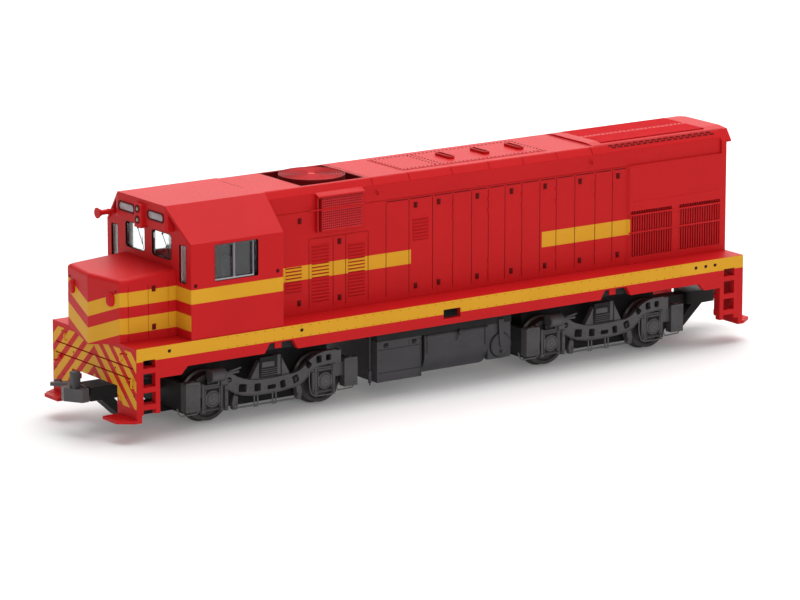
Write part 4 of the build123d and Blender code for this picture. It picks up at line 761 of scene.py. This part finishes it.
@draws(horn_rings=RED_PAINT)
def horn_rings(rings):
    """The rolled mouth and inner cone of the horn, its collar and its foot on the cab."""
    low = span("horn", 0)[0]
    (y_low, y_high), (z_low, z_high) = span("horn", 1), span("horn", 2)
    y, z, radius = (y_low + y_high) / 2, (z_low + z_high) / 2, (z_high - z_low) / 2
    rings.hoop((low + 0.12, y, z), X, radius - 0.12, 0.12, 40, 10)
    rings.peg(near(low, 0.02, 0.3), y, z, radius * 0.55, 24, radius * 0.2)
    rings.hoop((CAB_FRONT - 2.6, y, z), X, 0.5, 0.16, 24)
    rings.block(near(CAB_FRONT, -0.25, 0), about(y, 0.7), about(z, 0.7), 0.1)


# ------------ long hood
DOOR_LINES = [-32.1, -26, -22.8, -17.1, -12.5, -6.6, -0.5, 4.8, 9.7, 14.1, 18.5, 23, 27.8, 32.2,
              37.2, 42.7, 47.4]
FIRST_TALL_DOOR = -12.5
LOUVRE_PITCH = 0.73
# louvre stacks: x from, x to, lowest, highest
LOUVRES = [(-38, -33.9, 24.6, 30), (-31.4, -27, 21.9, 33.9), (-22.2, -17.9, 21.9, 33.2),
           (-5.6, -1.6, 31.9, 36.3)]
# a louvre's section: out from the hood's wall, and up from its own lower edge
LOUVRE_SECTION = ((-0.1, 0.42), (0.03, 0.4), (0.17, 0.1), (0.17, 0.04), (-0.1, 0.04))
LATCHES = [(-34.4, 39.4), (-34.6, 21.9), (-24.4, 33.9), (-24.4, 21.9)]
LATCHES += [(x, z) for x in (-4.9, 1.1, 11.2, 20.2, 29.2, 38.6, 48.9) for z in (39.4, 21.9)]
HINGED = [4.8, 14.1, 23, 32.2, 42.7]
HINGE_Z = (38.4, 35.9, 25, 22.4)
DASH_Z = (40.75, 40.98)
EYE_Z = 43.2


@draws(*SIDES, hood_louvres=HOOD_PAINT, hood_louvre_gaps=LOUVRE_GAP_SHADE, hood_door_gaps=GAP_AND_SHADE_RED,
       hood_latches=LATCH_SHADE_AND_TRIM, hood_hinges=HOOD_PAINT, hood_door_seams=GAP_AND_SHADE_RED)
def hood_side(slats, gaps, shadow_dashes, latches, bumps, seams):
    """Louvres with painted shade in their gaps, latches painted dark as shade, hinges, lifting eyes, the
    gaps beside the doors, and painted shadow above the doors.
    """
    wall = HOOD_HALF
    for x0, x1, low, high in LOUVRES:
        for k in range(int(round((high - low) / LOUVRE_PITCH)) + 1):
            z = low + k * LOUVRE_PITCH
            slats.prism([(wall + out, z + up) for out, up in LOUVRE_SECTION], "X", x0, x1)
            # the gap under each louvre: red, darker as painted shade
            gaps.block(inset((x0, x1), 0.05), near(wall, -0.05, 0.02), near(z, -0.26, 0.04))
    for x, z in LATCHES:
        latch(latches, x, wall, z)
    for x in HINGED:
        for z in HINGE_Z:
            bumps.peg(x, wall + 0.05, about(z, 0.45), 0.2, 10, bevel=0.04)
    # the dark dashes above the doors are painted shadow under the belt
    edges = [x for x in DOOR_LINES if x >= FIRST_TALL_DOOR] + [HOOD_BACK]
    for pair in zip(edges, edges[1:]):
        shadow_dashes.block(inset(pair, 0.35), near(wall, -0.05, 0.03), DASH_Z)
    for x in DOOR_LINES:
        top = 33.6 if x < FIRST_TALL_DOOR else 40.6
        seams.block(about(x, 0.07), near(wall, -0.3, -0.02), (DECK_TOP + 1.2, top))
    for x in (-14.8, 41.6):
        bumps.hoop((x, wall + 0.32, EYE_Z), X, 0.36, 0.13, 20)
        bumps.peg(x, near(wall, -0.1, 0.14), EYE_Z, 0.36, 14)


MESH_X = (-29.3, -19.3)
MESH_BANDS = [(41.75, 44), (37, 41.1)]
MESH_PITCH = 0.5
MESH_WIRE = 0.125
MESH_RAIL_Z = 41.45
LID_Z = (43.95, 44.3)
LID_INNER = (HOOD_HALF - 0.3, 45.05)
LID_OUT = 0.28


@draws(*SIDES, intake_boxes=HOOD_PAINT, intake_mesh=MESH_HIGHLIGHT_RED, intake_shadow=GAP_AND_SHADE_RED)
def side_mesh(boxes, wires, dark):
    """The intake boxes on the hood's sides: frames, wire mesh lightened as painted highlight, painted
    shadow behind the mesh and under the lid, sloping lid and handrail.
    """
    x_low, x_high = span("side_grilles", 0)
    z_low = span("side_grilles", 2)[0]
    face = span("side_grilles", 1)[1] - 0.25
    mesh_low, mesh_high = MESH_X
    frame_high = x_high - 0.45
    deep = (HOOD_HALF - 0.1, face)
    lid_low, lid_high = LID_Z
    lid_top = lid_low + 0.1
    lid = [LID_INNER, (face + LID_OUT, lid_high), (face + LID_OUT, lid_low), (LID_INNER[0], lid_low)]
    boxes.prism(lid, "X", x_low, x_high, 0.06)
    dark.block((mesh_low - 0.5, mesh_high), (HOOD_HALF - 0.1, face - 0.55), (z_low + 0.1, lid_top))
    dark.block(inset((x_low, x_high), 0.4), near(face, -0.3, 0.04), near(lid_low, -0.2, 0.02))
    boxes.block(near(x_low, 0, 0.32), (HOOD_HALF - 0.1, face - 0.1), (z_low, lid_top), 0.05)
    for x in (near(mesh_low, -0.18, 0), (mesh_high, frame_high)):
        boxes.block(x, deep, (z_low, lid_top), 0.05)
    for z in ((z_low, MESH_BANDS[1][0]), (MESH_BANDS[1][1], MESH_BANDS[0][0])):
        boxes.block((mesh_low, frame_high), deep, z, 0.05)
    boxes.peg((x_low - 2, x_high), face + 0.05, MESH_RAIL_Z, 0.15, 10)
    for band in MESH_BANDS:
        for k in range(int((mesh_high - mesh_low) / MESH_PITCH) + 1):
            wires.peg(mesh_low + k * MESH_PITCH, face - 0.14, band, MESH_WIRE, 6)
        for k in range(int((band[1] - band[0]) / MESH_PITCH) + 1):
            wires.peg(MESH_X, face - 0.1, band[0] + k * MESH_PITCH, MESH_WIRE, 6)


FAN_FLOOR = ROOF_Z - 1.9
FAN_TOP = span("roof_fan", 2)[1]
FAN_RINGS = 12
FAN_WIRE = 0.1
FAN_DISC_DEEP = 0.24
FAN_SPOKES = 4


@draws(fan_drum=GAP_AND_SHADE_RED, fan_guard=MESH_HIGHLIGHT_RED)
def fan(drum, guard):
    """The roof fan: a drum and disc painted dark as the shade in its well, under a guard of fine rings
    painted light as highlights.
    """
    drum.sharp = guard.sharp = 50.0
    centre = Vector((FAN_X, 0, 0))
    drum.turned([(FAN_R - 0.3, FAN_FLOOR + 0.1), (FAN_R, FAN_FLOOR + 0.1), (FAN_R, FAN_TOP - 0.12),
                 (FAN_R - 0.1, FAN_TOP - 0.04), (FAN_R - 0.3, FAN_TOP - 0.04)], FAN_X)
    drum.peg(FAN_X, 0, (FAN_FLOOR + 0.2, FAN_TOP - FAN_DISC_DEEP), FAN_R - 0.05, 72)
    ring_z = FAN_TOP - FAN_WIRE - 0.02
    for radius in evenly(0.9, FAN_R - 0.15, FAN_RINGS):
        guard.hoop(centre + Z * ring_z, Z, radius, FAN_WIRE, 64, 6)
    hub = centre + Z * (ring_z - 0.06)
    for aim in circle(Vector(), (X + Y).normalized(), (Y - X).normalized(), FAN_SPOKES):
        guard.rod(hub + aim * 0.5, hub + aim * (FAN_R - 0.2), 0.07, 8)
    guard.peg(FAN_X, 0, near(FAN_TOP, -0.5, -0.05), 0.75, 32, bevel=0.08)


VENT_X = (9.6, 18.8, 27.9)


@draws(hatch_rivets=DARK_RED_AND_SHADE, roof_seams=DARK_RED_AND_SHADE, vent_floors=DARK_RED_AND_SHADE)
def roof(rivets, seams, floors):
    """Rivets round the roof hatch and the floors of the vents, both painted dark as shade, and the seams
    across the roof.
    """
    x0, x1 = span("roof_hatch", 0)
    half = span("roof_hatch", 1)[1]
    top = span("roof_hatch", 2)[1]
    places = [(x, y) for x in evenly(x0 + 0.7, x1 - 0.7, 36) for y in (0.6 - half, half - 0.6)]
    places += [(x, y) for x in (x0 + 0.5, x0 + 9.5, x0 + 10.9, x1 - 0.5)
               for y in evenly(1.5 - half, half - 1.5, 10)]
    for place in places:
        rivets.rivet((*place, top), Z, 0.2, 0.1)
    for x, y in ((CAB_BACK - 1.2, (-3, 5.4)), (-16, (-8, 8)), (42.2, (-8.4, 8.4))):
        seams.block(near(x, 0, 0.14), y, near(ROOF_Z, -0.05, 0.015))
    for x in VENT_X:
        floors.prism(rounded(about(x, 0.48), (-2.58, 2.58), 0.28), "Z", top, top + 0.28)


# ------------ radiator section
RADIATORS = [near(HOOD_BACK, 0.8, 12.2), (HOOD_BACK + 14.2, REAR_END - 1.85)]
RADIATOR_Z = span("rear_grilles", 2)
RADIATOR_BARS = (30.2, 26.3)
FIN_PITCH = 0.66
FIN_DEEP = 0.62


@draws(*SIDES, radiator_fins=RED_PAINT, radiator_backs=GAP_AND_SHADE_RED, radiator_rivets=RED_PAINT)
def radiators(fins, backs, bumps):
    """Upright fins, two level bars and rivets on each radiator grille, over backs painted dark as the shade
    between the fins.
    """
    low, high = RADIATOR_Z
    upper, lower = RADIATOR_BARS
    wall, floor_y = REAR_HALF, REAR_HALF - FIN_DEEP
    for x0, x1 in RADIATORS:
        count = int((x1 - x0) / FIN_PITCH)
        for k in range(count):
            x = x0 + (k + 0.5) * (x1 - x0) / count
            fins.prism([(x - 0.12, floor_y), (x + 0.2, floor_y), (x + 0.15, wall - 0.14),
                        (x - 0.17, wall - 0.14)], "Z", low, upper)
            fins.block(about(x, 0.08), (floor_y, wall - 0.2), (30.3, high))
        backs.block((x0, x1), (floor_y - 0.05, wall - 0.42), (low, upper))
        backs.block((x0, x1), (floor_y - 0.05, wall - 0.3), near(lower, -0.5, 0))
    for z in RADIATOR_BARS:
        fins.block((HOOD_BACK + 0.4, REAR_END - 1.3), near(wall, -0.6, 0.14), about(z, 0.17), 0.06)
    for k in range(20):
        bumps.rivet((HOOD_BACK + 2 + k * 1.2, wall, 33.2), Y, 0.17, 0.09)
    middle = (RADIATORS[0][1] + RADIATORS[1][0]) / 2
    for k in range(9):
        for x in about(middle, 0.6):
            bumps.rivet((x, wall, 21.4 + k * 1.15), Y, 0.15, 0.08)


SCREEN_X = (46.2, 74.6)
SCREEN_Y = (0.7, 7.2)
SLOPE_FALL = (1.1, 1.6)                  # the roof's slope: outwards, and down
SLOT_ROW_X = (46.8, 75.4)
SLOT_ROWS = ((0.36, 0), (0.86, 0.84))    # distance down the slope, and shift along it
SLOT_COUNT = 17
SLOT_SIZE = (1.15, 0.18)                 # length, and half the width


@draws(*SIDES, roof_screens=SCREEN_RED, roof_screen_ridges=SCREEN_RED, roof_slots=LATCH_SHADE_AND_TRIM)
def rear_roof(screens, ridges, slots):
    """A fine screen with ridges on each side, and staggered slots down the slopes, painted dark as their
    shade.
    """
    top = span("rear_roof", 2)[1]
    out, fall = SLOPE_FALL
    edge = Vector((0, HOOD_HALF - out, ROOF_Z))
    down = Vector((0, out, -fall)).normalized()
    away = Vector((0, fall, out)).normalized()
    length, half = SLOT_SIZE
    pitch = (SLOT_ROW_X[1] - SLOT_ROW_X[0]) / SLOT_COUNT
    screens.block(SCREEN_X, SCREEN_Y, near(top, -0.1, 0.02))
    for x in evenly(*inset(SCREEN_X, 0.6), 23):
        ridges.block(about(x, 0.06), inset(SCREEN_Y, 0.2), near(top, 0, 0.035))
    for along, shift in SLOT_ROWS:
        corners = [edge + down * (along + a) + away * b
                   for a, b in ((-half, -0.1), (half, -0.1), (half, 0.05), (-half, 0.05))]
        for k in range(SLOT_COUNT):
            x = SLOT_ROW_X[0] + shift + k * pitch
            slots.prism([(p.y, p.z) for p in corners], "X", x, x + length)


@draws(roof_rib_rivets=RED_PAINT)
def roof_rib(rib):
    """A dotted rib between the two screens."""
    for k in range(24):
        rib.rivet((SCREEN_X[0] + 0.6 + k * 1.18, 0, span("rear_roof", 2)[1]), Z, 0.2, 0.12)


@draws(rear_door_hinges=HOOD_PAINT)
def rear_door(trim):
    """Hinges and latch of the door in the hood's rear end."""
    for z in (22.6, 29, 34.6):
        trim.peg(REAR_END + 0.04, 2.7, about(z, 0.6), 0.22, bevel=0.04)
    trim.block(near(REAR_END, -0.05, 0.14), (-2.2, -1.4), (28.2, 29.6), 0.08)


DOOR_HANDLE = (1.8, 29.1)


@draws(*SIDES, rear_grab_irons=BLACK_AND_SHADE)
def rear_irons(irons):
    """Grab irons of the hood's rear end, and the door's handle, on one side only."""
    irons.grab((REAR_END, 5.2, 33), (REAR_END, 5.2, 38.4), (0.7, 0, 0))
    irons.grab((REAR_END, 5.2, 23), (REAR_END, 8.4, 23), (0.7, 0, 0))
    if irons.matrix[1][1] < 0:
        y, z = DOOR_HANDLE
        irons.peg(near(REAR_END, 0, 0.4), y, z, 0.16, 10)
        irons.peg(REAR_END + 0.4, y, near(z, 0, -0.9), 0.12, 10)


# ------------ pilots, sills and underframe
SILL_HOLES = (-FRAME_END + 7.9, -38.4, FRAME_END - 13.2, FRAME_END - 10.5, FRAME_END - 7.9)
SILL_HOLE_Z = 18
STEPS_Z = (15, 11, 7.4)


@draws(*SIDES, pilot_grab_irons=PILOT_PAINT, pilot_bolts=DARK_RED_AND_SHADE)
def pilot_trim(irons, bolts):
    """Grab irons, brackets and bolts on the two pilot plates."""
    for end in SIDES:
        face = end * FRAME_END
        for y, z0, z1 in ((10.95, 15.9, 17.4), (15.2, 10.9, 12.9)):
            irons.grab((face, y, z0), (face, y, z1), (end * 0.55, 0, 0), 0.17, 0.25)
        irons.block((face, face + end * 0.45), (13.1, 13.9), (11.7, 12.4), 0.1)
        irons.block((face, face + end * 0.35), (9.6, 10.4), (7.4, 8.2), 0.1)
        for y, z in ((12.7, 17.6), (8.2, 13.9), (12.2, 8.4), (15.4, 9.3)):
            bolts.peg(near(face, -end * 0.05, end * 0.05), y, z, 0.2)


@draws(*SIDES, sill_hole_backs=BLACK_AND_SHADE)
def sill_holes(holes):
    """Painted shade behind the round holes of the sills."""
    for x in SILL_HOLES:
        holes.peg(x, near(DECK_HALF, -0.6, -0.15), SILL_HOLE_Z, 0.4, 20)


@draws(*SIDES, step_treads=RED_PAINT)
def step_treads(treads):
    """Raised tread bars on the ladders' steps and the foot plates."""
    for end in SIDES:
        for k in range(5):
            treads.block((end * (FRAME_END + 0.5), end * (FRAME_END + 2.6)), about(9.8 + k * 1.3, 0.12),
                         (4.35, 4.48), 0.03)
        for z in STEPS_Z:
            for inward in (0.5, 1.2, 1.9):
                treads.block((end * (FRAME_END - 4.3), end * (FRAME_END - 2.6)),
                             about(DECK_HALF - inward, 0.1), near(z, -0.05, 0.07), 0.02)


HANDLE_Z = 10.65
FILLER_X = 4.4
RESERVOIR = (15.3, 6.8)
PIPE_X = -18.2


@draws(*SIDES, tank_recesses=BLACK_AND_SHADE, tank_fittings=TANK)
def tanks_and_boxes(dark, grey):
    """Handles of the battery box, filler of the tank, end of the reservoir, and a drain pipe, with black
    painted as shade behind the handles and round the reservoir's end.
    """
    wall = span("battery_box", 1)[1]
    for x in (-14.7, -7.4):
        dark.block(about(x, 0.6), near(wall, -0.1, 0.03), (10.25, 11.25), 0.02)
        grey.peg(about(x, 0.35), wall + 0.25, HANDLE_Z, 0.13, 10)
        for foot in about(x, 0.35):
            grey.peg(foot, near(wall, 0, 0.3), HANDLE_Z, 0.12, 8)
    for x in (-16.2, -6.2):
        for z in (3.5, 7.4, 11.2):
            grey.rivet((x, wall, z), Y, 0.16, 0.1)
    grey.rod((FILLER_X, wall - 0.6, 10.9), (FILLER_X, wall + 0.5, 11.15), 0.5, 24, 0.46, 0.05)
    grey.rod((FILLER_X, wall + 0.4, 11.12), (FILLER_X, wall + 0.75, 11.22), 0.62, 24, 0.6, 0.06)
    grey.tube([(FILLER_X, wall + 0.1, 10.9), (3.9, wall + 0.15, 10.2), (3.7, wall + 0.05, 9.4)], 0.12)
    for x in (-3.9, 11.3):
        grey.tube([(x, wall - 0.12, z) for z in (11.4, 9.5, 7.5)], 0.16)
    for k in range(6):
        grey.rivet((-3.2 + 2.7 * k, wall - 0.18, 9), Y, 0.12, 0.08)
    x, z = RESERVOIR
    grey.hoop((x, wall - 0.05, z), Y, 2.35, 0.16)
    dark.hoop((x, wall - 0.35, z), Y, 2.72, 0.13)
    grey.prism([(14.5, 12.6), (15.9, 12.6), (15.75, 6.9), (x, 6.2), (14.85, 6.9)], "Y",
               *near(wall, -0.1, 0.3), 0.08)
    dark.peg(x, near(wall, -0.1, 0.05), 5.4, 0.4, 20)
    grey.peg(PIPE_X, wall - 1, (13.6, 5.4), 0.16, 10)
    grey.peg(PIPE_X, wall - 1, (5.6, 2.9), 0.42, 16, 0.36, 0.08)
    grey.peg(PIPE_X, wall - 1, (2.9, 2.4), 0.15, 10)


# ------------ bogies
BEAM_FACE = 12
BOX_FACE = 11.6
BEAM_EDGE = [(-12, 8), (-10.6, 6.8), (-8.7, 5.6), (-6.8, 4.85), (-4.8, 4.5), (-2.4, 4.36), (0, 4.34),
             (2.4, 4.42), (4.8, 4.64), (6.8, 5.05), (8.4, 5.6), (9.5, 6.5), (10.4, 7.45), (11.3, 8),
             (12.4, 8.35), (14.6, 8.55), (16.6, 8.55)]
CYLINDER = (11.8, 10)
DAMPER = (10.9, 11.9)
BRAKE_ROD_Z = (2.15, 1.95)               # the long tie rod, and the stirrups' feet


def journal_box(shape, wires, dark, x):
    """Rings, ribs and pedestal guides of an axle box about x, over black painted as the shade of its
    recess.
    """
    z, face = AXLE_Z, BOX_FACE
    dark.block(about(x, 2), near(face, -0.1, 0.04), (2.95, 7.15))
    dark.peg(x, near(face, -0.1, 0.16), z, 1.62, 40, bevel=0.06)
    shape.peg(x, near(face, -0.1, 0.3), z, 1.12, 32, bevel=0.06)
    for rib_x in about(x, 1.75):
        shape.block(about(rib_x, 0.13), near(face, -0.1, 0.3), (3.1, 7.1), 0.05)
    wires.hoop((x, face + 0.22, z), Y, 1.66, 0.12, 40)
    wires.hoop((x, face + 0.32, z), Y, 1.06, 0.12, 32)
    dark.peg(x, near(face, 0.1, 0.34), z, 0.92, 32)
    for place in circle(Vector((x, face + 0.34, z)), Z * 0.62, X * 0.62, 3):
        bolt(wires, place, Y, 0.14, 0.16)
    wires.peg(x, near(face, 0.3, 0.55), z, 0.26, 16, bevel=0.05)
    for guide_x in about(x, 2.3):
        shape.block(about(guide_x, 0.32), near(face, -0.6, 0.3), (2.3, 8.3), 0.1)
        shape.block(about(guide_x, 0.5), near(face, -0.6, 0.4), (2.2, 2.9), 0.1)
    shape.block(about(x, 1.9), near(face, -0.3, 0.26), (7.2, 7.6), 0.08)
    shape.block(about(x, 1.9), near(face, -0.3, 0.2), (2.5, 2.8), 0.08)


def build_bogie_side(place, centre, side, hand):
    """Springs, brake gear, boxes, bolts and wires on one side of a bogie."""
    parts = Shape(f"{place}_bogie_{hand}_gear", GREY, f"{place}_bogie")
    wires = Shape(f"{place}_bogie_{hand}_wires", WIRE, f"{place}_bogie")
    dark = Shape(f"{place}_bogie_{hand}_recesses", BLACK_AND_SHADE, f"{place}_bogie")
    for shape in (parts, wires, dark):
        shape.bogie(centre, side)
    for x in about(0, WHEELBASE / 2):
        journal_box(parts, wires, dark, x)
    # the spring seat between the sloping brackets: black painted as shade, with leaves, a block and a post
    dark.block((-2.25, 3.15), (10.9, 11.85), (7.75, 12.15))
    for k in range(4):
        parts.block((-2, 2.2), (11.6, 11.97), near(0.42 * k, 8.15, 8.33), 0.04)
    parts.block((-1.9, 1.2), (11.5, 12.1), (9.95, 11.15), 0.12)
    parts.block((1.95, 2.75), (11.5, 12), (8, 12.3), 0.1)
    for x, z in ((-4.7, 6), (-1.2, 5.6), (2.2, 5.6), (5, 6), (8, 7.6), (11.2, 9.6), (-8.2, 7.4)):
        parts.rivet((x, BEAM_FACE, z), Y, 0.15, 0.1)
    parts.tube([(x, BEAM_FACE - 0.02, z) for x, z in BEAM_EDGE], 0.13)
    # brake cylinder's flanges, piston and lever
    for x in (-14.5, -11.6):
        parts.hoop((x, *CYLINDER), X, 1.38, 0.1, 36)
    wires.rod((-11.4, *CYLINDER), (-7, 11.8, 10.75), 0.16)
    parts.block((-11.3, -10.5), (11.7, 12.4), (2.2, 7.6), 0.12)
    for z in (3, 4.6, 6.4):
        bolt(parts, (-10.9, 12.4, z), Y, 0.2, 0.2)
    # hanging brake gear below the beam
    tie_z, foot_z = BRAKE_ROD_Z
    wires.peg((-8.7, 7), 11.5, tie_z, 0.19)
    for x in (-3.2, 1.35):
        for post_x in about(x, 0.42):
            wires.peg(post_x, 11.6, (4.5, foot_z), 0.16, 8)
        wires.peg(about(x, 0.5), 11.6, foot_z, 0.2, 10)
    for x, out in ((-8.1, -1), (7.1, 1)):
        parts.prism([(x + out * 0.9, 1.9), (x + out * 1.15, 3.4), (x + out * 0.75, 5),
                     (x - out * 0.3, 4.8), (x - out * 0.2, 1.9)], "Y", 10.7, 11.9, 0.12)
        parts.peg(x, (10.6, 12.2), 3.1, 0.26)
        parts.block(about(x, 0.25), (10.7, 11.3), (3, 6.6), 0.08)
    # damper and its pipe beside the high axle box
    parts.peg(*DAMPER, (3.6, 7.2), 0.4, 16, bevel=0.06)
    parts.peg(*DAMPER, (2.8, 3.7), 0.22)
    parts.peg(*DAMPER, (7.1, 7.9), 0.24)
    wires.tube([(x, 12, z) for x, z in ((10, 7.3), (9.9, 5.4), (10, 4), (10.5, 2.6), (11.5, 2),
                                          (14, 1.95), (16.4, 2))], 0.13)
    # step wires at the ends
    for path in (((-23, 4.2), (-22.6, 3), (-22, 2.45), (-18.4, 2.45), (-17.6, 2.9)),
                 ((16.6, 3.4), (17, 2.6), (20.6, 2.7), (21.2, 3.4))):
        wires.tube([(x, 12.2, z) for x, z in path], 0.14)
    # sand boxes: lids, edges and bolts
    for box in ((-20.7, -17.6), (18.8, 21.6)):
        parts.block(box, (10.9, 12.5), (9, 9.3), 0.08)
        bolt(parts, (sum(box) / 2, 11.9, 9.2), Z, 0.4, 0.3)
        parts.block(inset(box, 0.2), (12.3, 12.44), (3.5, 8.7), 0.05)
        for z in (4, 8.2):
            for x in inset(box, 0.55):
                parts.rivet((x, 12.44, z), Y, 0.13, 0.08)


def build_coupler_trim(place, end):
    """Hook pins, ribs and the trip pin of a coupler; end is -1 in front."""
    trim = Shape(f"{place}_coupler_pins", TANK, f"{place}_coupler")
    if end > 0:
        trim.matrix = Matrix.Rotation(math.pi, 4, "Z")
    head = -abs(span(f"{place}_coupler", 0)[0 if end < 0 else 1])
    trim.block(near(head, 1.1, 2.9), (-3.9, -2.2), (9.3, 13), 0.25)
    trim.block(near(head, 3.2, 3.9), (-4.6, -1.6), (9.4, 9.9), 0.12)
    trim.peg(head + 4.2, -1, (9.3, 10), 0.5, 20, bevel=0.08)
    trim.tube([(head + 2.6, 3.2, 9.6), (head + 2.2, 3.5, 9.9), (head + 1.2, 3.8, 9.8)], 0.2, 10)


WHEEL_FACE = 9.65


def build_wheel_trim(x_axle, name):
    """Rim ring, ribs and hub ring of the wheels on one axle."""
    trim = Shape(f"{name}_ribs", WHEEL, f"{name}_wheelset")
    centre = Vector((x_axle, WHEEL_FACE - 0.03, AXLE_Z))
    for side in SIDES:
        trim.side(side)
        for radius, wire in ((4.1, 0.12), (1.7, 0.14)):
            trim.hoop((x_axle, WHEEL_FACE, AXLE_Z), Y, radius, wire)
        for aim in circle(Vector(), X, Z, 6):
            trim.rod(centre + aim * 1.6, centre + aim * 4, 0.2, 8)


for place_name, end_sign in ENDS.items():
    for side_sign, hand_name in ((-1, "left"), (1, "right")):
        build_bogie_side(place_name, end_sign * BOGIE_X, side_sign, hand_name)
    build_coupler_trim(place_name, end_sign)
    for axle_name, offset in (("outer", end_sign * WHEELBASE / 2), ("inner", -end_sign * WHEELBASE / 2)):
        build_wheel_trim(end_sign * BOGIE_X + offset, f"{place_name}_{axle_name}")

pieces = {shape.name: shape.piece() for shape in Shape.drawn}
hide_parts("side_grilles")
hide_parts("roof_fan")
